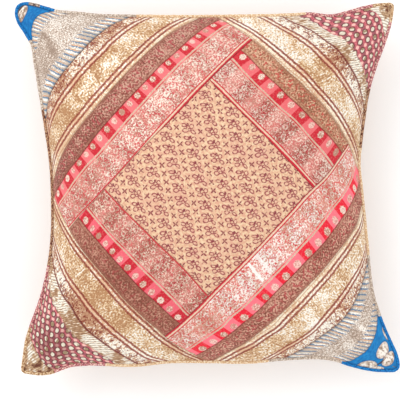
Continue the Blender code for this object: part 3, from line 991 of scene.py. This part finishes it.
def band_cloth(side):
    cloth = Cloth("maroon_band_" + SIDE_NAMES[side])
    along, across, shine, yarns = cloth.along, cloth.across, cloth.mark("shine"), RIBBONS[side]
    grain, bend = cloth.noise(1.9), cloth.sway(5.0, 3.0)
    x, y = (along / MEDALLION_PITCH).offset() * MEDALLION_PITCH, across - BAND_WIDTH / 2
    diamond = abs(x) + abs(y) * 1.1 + bend
    medallion = cloth.fall(diamond, 4.5, 8.0)
    nested = (diamond * (math.pi * 2 / NEST_PITCH)).sine() + (grain - 0.5) * 4
    inside = cloth.between(across, *FIGURED, 0.5)
    tone = grain + shine * 0.18 + (medallion - 0.4) * 0.08 + cloth.sway(14.0, 0.5, 2.0)
    colour = cloth.tones(tone, yarns.dark, yarns.ground, yarns.light, 0.40, 0.60)
    figure = cloth.rise(nested, 0.3, 0.8) * inside
    colour = cloth.mix(figure * (0.35 + medallion * 0.5) * yarns.figure, colour, yarns.light)
    gaps = cloth.fall(nested, -0.9, -0.4) * inside
    colour = cloth.mix(gaps * 0.65 * yarns.figure, colour, yarns.dark)
    rose = cloth.rise(cloth.noise(3.2, at=cloth.point(along, across + 61.0)), 0.54, 0.60) * inside
    colour = cloth.mix(rose * (0.45 + medallion * 0.45) * yarns.figure, colour, yarns.rose)
    colour = cloth.mix((1 - inside) * 0.4, colour, yarns.ground)
    for thread in EDGE_THREADS:
        colour = cloth.mix(cloth.line(across, thread, 0.8) * 0.4, colour, yarns.dark)
    colour = cloth.shaded_seam(colour, (124, 54, 48), 0.35, 1.1)
    return cloth.finish(colour, 0.6 - figure * 0.1, figure * 0.15, cloth.weave(0.9) + figure + grain, 0.13)


for side in range(4):
    band = cut_between(side, "band", "gold")
    sew_on("maroon_band", side, band, across_marks(side, band, BAND_MARKS), band_cloth(side))


# The four gold borders, sewn on outside the ribbons. Sari border woven nearly solid in zari: a cream
# selvedge, a pair of maroon lines, the wide gold band, a second pair, and a pale outer band with a maroon
# vine.
BORDER_MARKS = (Mark("cord", 5.0), Mark("far_cord", 31.8), Mark("ear", 49.5))
SELVEDGE_END, PALE_START = (4.4, 5.0), (36.2, 36.8)
LINE_PAIRS = ((5.0, 9.4), (31.8, 36.2))
LINE_WIDTH = 2.2
STAIR_PITCH = 9.0
JAAL_START, JAAL_STEP, JAAL_ROW = 20.5, (11.5, 0.0), (5.75, 7.4)
VINE_CROWDS = (39.0, 47.0)

# The last threads before the outer seam: their colour, and where it starts on each border
FarEdge = namedtuple("FarEdge", "colour start")
FAR_EDGE_END = 49.0
FAR_EDGES = (
    FarEdge((132, 102, 92), 48.8), FarEdge((136, 46, 42), 48.1), FarEdge((160, 116, 98), FAR_EDGE_END),
    FarEdge((122, 38, 40), 47.6),
)

# How much more of the bright thread each border shows in its gold band and in its pale one
Lift = namedtuple("Lift", "zari pale")
LIFTS = (Lift(-0.10, -0.035), Lift(0.0, 0.06), Lift(0.025, 0.06), Lift(-0.07, -0.035))

# Creases pressed across the gold band, painted in as shade where the lift is below 0 and as a highlight
# where it is above
BandCrease = namedtuple("BandCrease", "along across half_length half_width turn lift")
BAND_CREASES = (
    (BandCrease(0.9, 17.5, 10.0, 1.6, 68, -0.22), BandCrease(-31.5, 19.0, 8.0, 2.4, 74, -0.18)),
    (
        BandCrease(9.0, 18.5, 8.5, 1.1, 69, 0.30), BandCrease(1.0, 21.5, 6.0, 0.9, 60, 0.25),
        BandCrease(4.5, 17.5, 8.0, 1.4, 72, -0.16), BandCrease(-12.0, 20.0, 8.0, 1.0, 80, -0.14),
    ),
    (BandCrease(-89.0, 22.0, 9.0, 1.6, 70, 0.30), BandCrease(-83.0, 21.0, 8.0, 1.6, 70, -0.15)),
    (BandCrease(36.0, 19.0, 9.0, 1.6, 74, -0.18), BandCrease(40.5, 20.0, 8.0, 1.2, 74, 0.22)),
)


def border_cloth(side):
    cloth = Cloth("gold_border_" + SIDE_NAMES[side])
    along, across, shine = cloth.along, cloth.across, cloth.mark("shine")
    grain, cloud = cloth.noise(2.0), cloth.noise(24.0)
    dx, dy = cloth.lattice(along, across - JAAL_START, JAAL_STEP, JAAL_ROW)
    reach = (dx * dx + dy * dy) ** 0.5 + cloth.sway(4.0, 4)
    jaal = cloth.line(reach, 3.9, 0.8, 0.5).most(cloth.fall(reach, 0.8, 1.8))
    drawn = cloth.noise(9.0, at=cloth.point(along * 0.45 + across, (across - along) * 0.4))
    tone = grain + LIFTS[side].zari + (cloud - 0.5) * 0.55 + shine * 0.13
    tone = tone - jaal * 0.07 + (drawn - 0.5) * 0.3
    # Each crease adds painted shade or a painted highlight to the zari's tone, as its lift says
    for painted_crease in BAND_CREASES[side]:
        edge = cloth.oval(along - SIDES_APART * side, across, *painted_crease[:5])
        tone = tone + cloth.fall(edge, 0.4, 1.2) * painted_crease.lift
    zari = cloth.tones(tone, (186, 138, 98), (232, 200, 160), (255, 250, 240), 0.37, 0.58, 0.08)
    sparse = cloth.rise(cloth.noise(2.6, at=cloth.point(along + 29.0, across)), 0.62, 0.68)
    zari = cloth.mix(sparse * 0.5, zari, (156, 104, 66))

    curve = cloth.noise(6.0, at=cloth.point(along, across + 71.0))
    patch = cloth.noise(10.0)
    crowded = cloth.rise(across + (patch - 0.5) * 24, *VINE_CROWDS)
    stem = cloth.line(curve, 0.5, 0.11, 0.03) * (0.3 + crowded * 0.7)
    leaves = cloth.noise(3.0, at=cloth.point(along + 83.0, across)) + crowded * 0.07
    vine = stem.most(cloth.rise(leaves, 0.62, 0.66)) * cloth.rise(grain, 0.32, 0.42)
    pale_tone = grain + shine * 0.17 + (0.5 - patch) * 0.35 - crowded * 0.02 + LIFTS[side].pale
    pale = cloth.tones(pale_tone, (190, 142, 110), (232, 198, 166), (255, 249, 234), 0.40, 0.55, 0.05)
    pale = cloth.mix(vine * 0.9, pale, (130, 46, 34))
    colour = cloth.mix(cloth.rise(across, *PALE_START), zari, pale)

    cream = cloth.mix(cloth.rise(tone, 0.38, 0.58), (226, 188, 152), (253, 239, 213))
    colour = cloth.mix(cloth.fall(across, *SELVEDGE_END), colour, cream)
    colour = cloth.mix(cloth.line(across, 0.9, 1.2) * 0.55, colour, (176, 116, 84))
    stairs = across + cloth.rise((along * (math.pi * 2 / STAIR_PITCH)).sine(), -0.3, 0.3) * 0.25
    maroon = cloth.mix(cloth.rise(grain, 0.4, 0.6), (124, 42, 34), (164, 76, 58))
    between_lines = cloth.mix(cloth.rise(tone, 0.35, 0.65), (226, 184, 148), (255, 248, 232))
    for inner_line, outer_line in LINE_PAIRS:
        colour = cloth.mix(cloth.between(across, inner_line, outer_line), colour, between_lines)
        for place in (inner_line, outer_line):
            colour = cloth.mix(cloth.line(stairs, place + 0.12, LINE_WIDTH, 0.4) * 0.9, colour, maroon)
    edge, start = FAR_EDGES[side]
    colour = cloth.mix(cloth.rise(across, start, FAR_EDGE_END) * 0.85, colour, edge)
    colour = cloth.shaded_seam(colour, (112, 66, 46), 0.4, 1.2)
    gleam = cloth.rise(tone, 0.45, 0.62)
    height = grain * 1.5 + jaal + cloth.weave(0.9) * 0.4
    return cloth.finish(colour, 0.52 - gleam * 0.12, gleam * 0.3, height, 0.16)


for side in range(4):
    border = cut(side, sewn_line(side, "gold"), sewn_line(side, "ear"))
    sew_on("gold_border", side, border, across_marks(side, border, BORDER_MARKS), border_cloth(side))


# The four corners. The upper left and lower right are silver tissue with a slanting blue and cream fringe
# woven along both seams, and the other two are mauve check with a brushed pale fringe along the border.
BORDER_FRINGE = (12.5, 11.0, 11.0, 13.2)
TIP_FRINGE = 11.5
FRINGE_PITCH = 7.4
FRINGE_LEAN = {UPPER_LEFT: 0.66, LOWER_RIGHT: 0.9}
BRUSH_PITCH = 3.8

# Where each side's tip is sewn to its corner, on the side's own measures
Tip = namedtuple("Tip", "along out")
TIP_SEAMS = (
    (Tip(-37, 240.9), Tip(-22, 240.2), Tip(-6, 239.4), Tip(8, 239.9), Tip(17, 240.9), Tip(40, 240.4)),
    (Tip(-31, 246.5), Tip(-16, 249.0), Tip(2, 248.0), Tip(18, 245.3), Tip(31, 246.5)),
    (Tip(-52, 226.2), Tip(-33, 225.8), Tip(13, 225.4), Tip(30, 225.6), Tip(44, 227.6), Tip(52, 227.0)),
    (Tip(-35, 242.4), Tip(-18, 242.0), Tip(0, 240.3), Tip(17, 239.2), Tip(35, 242.6)),
)

# The check's ovals: a step along the row, the way to the next row, one oval's place, and half its size
Check = namedtuple("Check", "step row start half_along half_out")
CHECKS = {
    UPPER_RIGHT: Check((11.9, -1.7), (5.6, 8.6), (3.9, 39.6), 3.3, 2.5),
    LOWER_LEFT: Check((11.8, 1.3), (1.3, 7.1), (31.3, 25.5), 3.3, 2.1),
}


def tip_seam(side):
    rows = TIP_SEAMS[side]
    return lambda along: smooth([row.along for row in rows], [row.out for row in rows], along)


def silver_cloth(side):
    cloth = Cloth("silver_tissue_" + SIDE_NAMES[side])
    along, across, to_tip, shine = cloth.along, cloth.across, cloth.mark("to_tip"), cloth.mark("shine")
    grain, speck = cloth.noise(1.7), cloth.noise(1.9, at=cloth.point(along + 31.0, across))
    leaning = (along + across * FRINGE_LEAN[side] + cloth.sway(6.0, 2.0)) / FRINGE_PITCH
    weft = (leaning * (math.pi * 2 * 3)).sine()
    tone = grain + shine * 0.13 + weft * 0.05 + cloth.sway(20.0, 0.3, 2.0)
    colour = cloth.tones(tone, (160, 138, 122), (206, 186, 170), (246, 238, 228), 0.41, 0.61)
    colour = cloth.mix(cloth.rise(speck, 0.60, 0.68) * 0.6, colour, (140, 120, 106))
    block = leaning.offset()
    each = cloth.noise(1.0, 0.0, at=cloth.point((leaning + 0.5).math("FLOOR") * 3.7, along * 0.03))
    ragged = (grain - 0.5) * 6 + abs(block) * 6
    near = cloth.fall(across + ragged, BORDER_FRINGE[side] - 0.5, BORDER_FRINGE[side] + 2.2)
    far = cloth.fall(to_tip + ragged, TIP_FRINGE - 0.5, TIP_FRINGE + 2.2)
    from_seam = across.least(to_tip)
    gold = cloth.fall(abs(block - 0.3), 0.12, 0.20) * cloth.rise(each + grain, 0.85, 1.05)
    blocks = cloth.mix(cloth.rise(each * 0.6 + grain * 0.6, 0.50, 0.68), (196, 180, 164), (255, 250, 240))
    blocks = cloth.mix(gold * 0.85, blocks, (206, 142, 88))
    # Painted shade: the fringe blocks greyer towards the seams
    blocks = cloth.mix(cloth.fall(from_seam, 1.0, 6.0) * 0.3, blocks, (170, 158, 146))
    half = 0.14 + cloth.fall(from_seam, 0.5, 3.5) * 0.06
    blue = cloth.fall(abs(block) - half + (speck - 0.5) * 0.35, -0.05, 0.05)
    blocks = cloth.mix(blue * 0.9, blocks, cloth.mix(grain, (42, 92, 138), (116, 142, 164)))
    colour = cloth.mix(near.most(far), colour, blocks)
    # Painted shade close to the seams
    colour = cloth.mix(cloth.fall(from_seam, 0.6, 1.6) * 0.4, colour, (120, 112, 108))
    colour = cloth.shaded_seam(colour, (110, 98, 92), 0.25, 1.0)
    return cloth.finish(colour, 0.5, cloth.rise(tone, 0.45, 0.62) * 0.3, grain + speck, 0.15)


def check_cloth(side):
    cloth = Cloth("mauve_check_" + SIDE_NAMES[side])
    along, across, shine = cloth.along, cloth.across, cloth.mark("shine")
    grain, wander = cloth.noise(1.9), cloth.sway(8.0, 2.0)
    check = CHECKS[side]
    x = along - SIDES_APART * side - check.start[0] + wander
    y = across - check.start[1] + cloth.sway(2.6, 1.2)
    dx, dy = cloth.lattice(x, y, check.step, check.row)
    spot = cloth.oval(dx, dy, 0.0, 0.0, check.half_along, check.half_out)
    half_way = ((check.step[0] + check.row[0]) / 2, (check.step[1] + check.row[1]) / 2)
    px, py = cloth.lattice(x - half_way[0], y - half_way[1], check.step, check.row)
    dot = cloth.oval(px, py, 0.0, 0.0, check.half_along * 0.8, check.half_out * 0.75)
    colour = cloth.mix(cloth.rise(grain, 0.35, 0.65), (194, 88, 102), (222, 124, 130))
    colour = cloth.mix(cloth.fall(abs(dy), 1.6, 2.8) * 0.75, colour, (152, 92, 100))
    colour = cloth.mix(cloth.fall(dot, 0.75, 1.2), colour, (255, 200, 188))
    colour = cloth.mix(cloth.between(spot, 0.9, 1.35, 0.15) * 0.85, colour, (96, 52, 50))
    dull = cloth.rise(cloth.noise(11.0, at=cloth.point(along + 17.0, across)), 0.53, 0.60)
    pearl = cloth.mix(grain, (210, 190, 158), (255, 252, 238))
    pearl = cloth.mix(dull * 0.9, pearl, (156, 130, 94))
    # Painted shade where the cloth turns away from the lamp
    colour = cloth.mix(cloth.rise(shine * -1, 0.2, 1.2) * 0.65, colour, (118, 58, 60))
    colour = cloth.mix(cloth.fall(spot, 0.75, 1.05), colour, pearl)

    strand = (along - across + (grain - 0.5) * 2.0) / BRUSH_PITCH
    thin = cloth.rise(abs(strand.offset()), 0.32, 0.44)
    fine = cloth.noise(1.5, at=cloth.point((along - across) * 0.8, (along + across) * 0.2))
    cloud = cloth.noise(15.0, 2.0) + shine * 0.16
    lit = cloth.rise(cloud, 0.32, 0.68)
    tone = fine + (lit - 0.5) * 0.3
    brush = cloth.tones(tone, (168, 128, 96), (215, 179, 144), (255, 248, 232), 0.40, 0.54)
    brush = cloth.mix(thin * (0.3 + lit * 0.5), brush, (124, 82, 58))
    ragged, width = across + (fine - 0.5) * 5, BORDER_FRINGE[side]
    colour = cloth.mix(cloth.fall(ragged, width - 0.5, width + 0.7), colour, brush)
    colour = cloth.mix(cloth.fall(across, 0.5, 1.3) * 0.7, colour, (142, 50, 46))
    colour = cloth.shaded_seam(colour, (112, 48, 44), 0.4, 1.0)
    return cloth.finish(colour, 0.58, 0.1, cloth.weave(0.9) + grain, 0.14)


for side in range(4):
    border_seam, last_seam = sewn_line(side, "ear"), tip_seam(side)
    corner = cut(side, border_seam, last_seam)
    cloth = check_cloth(side) if side in CHECKS else silver_cloth(side)
    from_border, to_tip = corner.out - border_seam(corner.along), last_seam(corner.along) - corner.out
    sew_on("corner", side, corner, from_border, cloth, to_tip=to_tip)


# The four tips, the last scrap at each ear. The upper left and lower right are bright blue silk with silver
# spots woven in, and the other two are gold tissue, crumpled where the ear is turned out. The crumples are
# not shaped: their light and shade are painted into the tissue's colour.
Spot = namedtuple("Spot", "along out half_along half_out turn")
SPOTS = {
    UPPER_LEFT: (Spot(-3.0, 260.8, 15.0, 9.2, -2),),
    LOWER_RIGHT: (
        Spot(-7.2, 240.9, 16.4, 6.8, -6), Spot(-1.5, 253.2, 15.6, 7.4, -8),
        Spot(29.8, 241.2, 13.4, 8.2, -5), Spot(22.5, 252.5, 8.0, 5.0, -45),
        Spot(-35.0, 242.0, 8.5, 6.5, 45),
    ),
}
# Painted shade in a crease of each blue tip, as an oval on the side's own measures
PAINTED_CREASE_SHADES = {UPPER_LEFT: Spot(-0.5, 267.6, 12.0, 2.8, -6), LOWER_RIGHT: Spot(12.1, 246.5, 9.7, 1.3, -5)}
RIM_SHADE_START, RIM_SHADE_END = CORNER_REACH - 4.6, CORNER_REACH - 2.2

# The gold tissue's stripes slope this far along for a millimetre out
Stripes = namedtuple("Stripes", "slope pitch")
TIP_STRIPES = {UPPER_RIGHT: Stripes(-1.6, 6.5), LOWER_LEFT: Stripes(-0.15, 3.8)}


def panel_corner(along):
    return np.full_like(along, CORNER_REACH)


def blue_cloth(side):
    cloth = Cloth("blue_silk_" + SIDE_NAMES[side])
    along, out, shine = cloth.along - SIDES_APART * side, cloth.across, cloth.mark("shine")
    thread = cloth.noise(1.4, stretch=4.0)
    colour = cloth.mix(cloth.rise(thread + shine * 0.15, 0.0, 1.0), (16, 106, 176), (44, 148, 212))
    colour = cloth.mix(cloth.rise(cloth.noise(16.0, 2.0), 0.40, 0.70) * 0.3, colour, (22, 88, 148))
    worn = cloth.noise(5.0, 2.0, 0.6) + shine * 0.08
    zari = cloth.tones(worn, (150, 126, 110), (202, 184, 168), (246, 238, 228), 0.42, 0.56, 0.06)
    spots = 0.0
    for spot in SPOTS[side]:
        edge = cloth.oval(along, out, *spot)
        # Painted shade: each spot browner towards its edge, with a thin dark blue ring round it
        rim = cloth.mix(cloth.rise(edge, 0.5, 1.0) * 0.4, zari, (176, 136, 108))
        colour = cloth.mix(cloth.between(edge, 0.98, 1.12, 0.05) * 0.4, colour, (18, 58, 104))
        inside = cloth.fall(edge, 0.93, 1.03)
        colour = cloth.mix(inside, colour, rim)
        spots = inside.most(spots)
    # Painted shade in the tip's crease
    painted_crease = cloth.oval(along, out, *PAINTED_CREASE_SHADES[side])
    colour = cloth.mix(cloth.fall(painted_crease, 0.5, 1.3) * 0.85, colour, (72, 52, 46))
    rim_shade = cloth.rise(abs(along) + out, RIM_SHADE_START, RIM_SHADE_END)
    colour = cloth.mix(rim_shade * 0.6, colour, (28, 56, 96))
    return cloth.finish(colour, 0.5, spots * 0.25, thread * 2 + spots, 0.12)


def gold_tip_cloth(side):
    cloth = Cloth("gold_tissue_" + SIDE_NAMES[side])
    along, out, shine = cloth.along, cloth.across, cloth.mark("shine")
    grain = cloth.noise(2.2)
    slope, pitch = TIP_STRIPES[side]
    slant = cloth.rise(((along + out * slope + grain * 2.0) * (math.pi * 2 / pitch)).sine(), -0.2, 0.6)
    # Painted light and shade of the crumpled tissue over a random tone: the bright tone is painted
    # highlight, the darkest blots painted shade
    crumple_shading = cloth.noise(9.0) + shine * 0.12 + (grain - 0.5) * 0.3
    colour = cloth.tones(crumple_shading, (124, 82, 62), (206, 172, 138), (255, 250, 236), 0.38, 0.59, 0.08)
    colour = cloth.mix(slant * 0.62, colour, (150, 110, 80))
    colour = cloth.mix(cloth.fall(crumple_shading, 0.16, 0.30) * 0.7, colour, (96, 44, 40))
    return cloth.finish(colour, 0.5, 0.15, slant + grain, 0.14)


for side in range(4):
    tip = cut(side, tip_seam(side), panel_corner)
    sew_on("tip", side, tip, tip.out, blue_cloth(side) if side in SPOTS else gold_tip_cloth(side))


# The piping. A cord covered in bias-cut scraps of the same cloths, sewn into the seam all the way round:
# gold, cream, striped and checked lengths, plain tissue by the silver corners, blue round two of the ears,
# and one spotted scrap where the blue is joined.
PIPING_DIAMETER = 0.0036
SEWN_GAP = 0.0005
PIPING_STEPS_A_SIDE = 260
PIPING_SIDES = 14
BIAS_PITCH = 4.6
WRINKLE = 0.04
NO_SEAM_NEAR = 9.0

# Each length of cloth starts where the one before it ends. A whole number is an ear, counted anticlockwise
# from the lower left one
Length = namedtuple("Length", "name end cloth")
PIPING_LENGTHS = (
    Length("piping_bottom_by_tip", 0.18, "gold"),
    Length("piping_bottom_by_check", 0.31, "check"),
    Length("piping_bottom", 0.60, "cream"),
    Length("piping_bottom_by_silver", 0.75, "tissue"),
    Length("piping_lower_right_ear", 1.25, "blue"),
    Length("piping_right_by_silver", 1.38, "tissue"),
    Length("piping_right", 1.57, "cream"),
    Length("piping_right_striped", 1.68, "striped"),
    Length("piping_right_by_check", 1.87, "check"),
    Length("piping_upper_right_ear", 2.14, "gold"),
    Length("piping_top_by_check", 2.32, "check"),
    Length("piping_top", 2.62, "cream"),
    Length("piping_top_by_silver", 2.80, "tissue"),
    Length("piping_top_by_ear", 2.85, "blue"),
    Length("piping_top_joint", 2.90, "spotted"),
    Length("piping_upper_left_ear", 3.20, "blue"),
    Length("piping_left_by_silver", 3.36, "tissue"),
    Length("piping_left", 3.64, "striped"),
    Length("piping_left_by_check", 3.78, "check"),
    Length("piping_left_by_tip", 4.00, "gold"),
)

# Each kind's three yarns, and how strongly its bias stripe shows
PipingYarn = namedtuple("PipingYarn", "dark ground light stripe")
PIPING_YARNS = {
    "gold": PipingYarn((150, 108, 74), (200, 160, 120), (236, 212, 176), 0.3),
    "cream": PipingYarn((206, 162, 122), (230, 196, 156), (248, 230, 200), 0.3),
    "striped": PipingYarn((98, 46, 36), (182, 138, 106), (214, 178, 144), 0.9),
    "check": PipingYarn((146, 78, 88), (206, 128, 130), (244, 216, 198), 0.6),
    "tissue": PipingYarn((160, 138, 122), (202, 184, 168), (234, 222, 208), 0.2),
    "blue": PipingYarn((14, 90, 156), (22, 116, 186), (42, 138, 204), 0.0),
    "spotted": PipingYarn((72, 54, 50), (142, 118, 104), (210, 190, 176), 0.7),
}


def seam_ring(count):
    """Points round the seam, anticlockwise from the lower left ear, close together at the ears."""
    t = np.sin(np.linspace(-math.pi / 2, math.pi / 2, count + 1)[:-1])
    one = np.ones_like(t)
    across = np.concatenate([t, one, -t, -one])
    up = np.concatenate([-one, t, one, -t])
    return np.column_stack([plan_point(across, up), seam_height(across, up)])


def piping_cloth(kind):
    cloth = Cloth("piping_" + kind)
    grain = cloth.noise(1.8)
    yarns = PIPING_YARNS[kind]
    colour = cloth.tones(grain, yarns.dark, yarns.ground, yarns.light, 0.42, 0.58)
    bias = (cloth.along + cloth.across * 1.1 + cloth.sway(7.0, 6)) / BIAS_PITCH
    stripe = cloth.rise((bias * math.pi * 2).sine(), 0.35, 0.75)
    stripe = stripe * cloth.rise(cloth.noise(9.0, 2.0), 0.38, 0.56)
    colour = cloth.mix(stripe * yarns.stripe, colour, yarns.dark)
    return cloth.finish(colour, 0.5, 0.0, grain + stripe, 0.12)


ring = seam_ring(PIPING_STEPS_A_SIDE)
tangent = np.roll(ring, -1, axis=0) - np.roll(ring, 1, axis=0)
tangent /= np.linalg.norm(tangent, axis=1)[:, None]
outward = np.column_stack([tangent[:, 1], -tangent[:, 0], np.zeros(len(ring))])
outward /= np.linalg.norm(outward, axis=1)[:, None]
upward = np.cross(outward, tangent)
upward *= np.sign(upward[:, 2])[:, None]
piping_line = ring + outward * (PIPING_DIAMETER / 2 + SEWN_GAP)
piping_steps = np.linalg.norm(np.roll(piping_line, -1, axis=0) - piping_line, axis=1)
piping_walked = np.concatenate([[0], np.cumsum(piping_steps)])[:-1]
PIPING_CLOTHS = {kind: piping_cloth(kind) for kind in PIPING_YARNS}


def piping_length(length, start):
    first, last = round(start * PIPING_STEPS_A_SIDE), round(length.end * PIPING_STEPS_A_SIDE)
    steps = np.arange(first, last + 1)
    at = steps % len(ring)
    around = np.arange(PIPING_SIDES + 1) / PIPING_SIDES * math.pi * 2
    radius = PIPING_DIAMETER / 2
    reach = radius * (1 + WRINKLE * np.sin(steps * 0.9 + np.sin(steps * 0.37) * 2))
    sideways, up = outward[at][:, None, :], upward[at][:, None, :]
    ways = np.cos(around)[None, :, None] * sideways + np.sin(around)[None, :, None] * up
    points = piping_line[at][:, None, :] + ways * reach[:, None, None]
    rows, columns = points.shape[:2]
    walked = np.repeat(piping_walked[at] / MM, columns)
    turned = np.tile(around * radius / MM, rows)
    pattern = np.column_stack([walked, turned, np.full(rows * columns, NO_SEAM_NEAR)])
    mesh = cloth_mesh(length.name, points.reshape(-1, 3), grid_faces(rows, columns)[:, ::-1], pattern)
    made = put_in_scene(mesh, PIPING_CLOTHS[length.cloth])
    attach(made, "root")
    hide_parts("piping")


start = 0.0
for length in PIPING_LENGTHS:
    piping_length(length, start)
    start = length.end


# The studio. A plain white floor under a soft, nearly even light, as a shop takes its pictures, with the
# camera straight above the face.
CAMERA_ABOVE_SEAM = 2.0
VIEW_WIDTH = 0.416
SENSOR = 36.0

# The picture's size and where the cushion's middle lies in it, in pixels
PICTURE = 400
MIDDLE_IN_PICTURE = (207.3, 188.7)

WHITE = (1, 1, 1, 1)
SKY_STRENGTH = 0.88
FLOOR_CORNERS = [(-3, -3, 0), (3, -3, 0), (3, 3, 0), (-3, 3, 0)]
FLOOR_LOOK = {
    "Base Color": (0.95, 0.95, 0.95, 1), "Roughness": 0.9, "Emission Color": WHITE,
    "Emission Strength": 0.16,
}

floor_mesh = bpy.data.meshes.new("floor")
floor_mesh.from_pydata(FLOOR_CORNERS, [], [(0, 1, 2, 3)])
floor = bpy.data.objects.new("floor", floor_mesh)
bpy.context.scene.collection.objects.link(floor)
paint = bpy.data.materials.new("white_floor")
paint.use_nodes = True
for name, value in FLOOR_LOOK.items():
    paint.node_tree.nodes["Principled BSDF"].inputs[name].default_value = value
floor_mesh.materials.append(paint)

Lamp = namedtuple("Lamp", "name place size power")
LAMPS = (
    Lamp("soft_box_left", (-1.5, 1.3, 1.9), 1.4, 22.0),
    Lamp("soft_box_right", (1.7, -0.9, 2.1), 1.6, 10.0),
)
for lamp in LAMPS:
    light = bpy.data.lights.new(lamp.name, "AREA")
    light.energy = lamp.power
    light.size = lamp.size
    made = bpy.data.objects.new(lamp.name, light)
    made.location = lamp.place
    made.rotation_euler = (-made.location).to_track_quat("-Z", "Y").to_euler()
    bpy.context.scene.collection.objects.link(made)

world = bpy.data.worlds.new("studio")
world.use_nodes = True
background = world.node_tree.nodes["Background"]
background.inputs["Color"].default_value = WHITE
background.inputs["Strength"].default_value = SKY_STRENGTH
bpy.context.scene.world = world
bpy.context.scene.view_settings.view_transform = "Standard"

camera = bpy.data.cameras.new("camera")
camera.sensor_width = SENSOR
camera.lens = SENSOR * CAMERA_ABOVE_SEAM / VIEW_WIDTH
camera.shift_x = (PICTURE / 2 - MIDDLE_IN_PICTURE[0]) / PICTURE
camera.shift_y = (MIDDLE_IN_PICTURE[1] - PICTURE / 2) / PICTURE
viewer = bpy.data.objects.new("camera", camera)
viewer.location = (0, 0, SEAM_HEIGHT + CAMERA_ABOVE_SEAM)
bpy.context.scene.collection.objects.link(viewer)
bpy.context.scene.camera = viewer


bpy.context.view_layer.update()
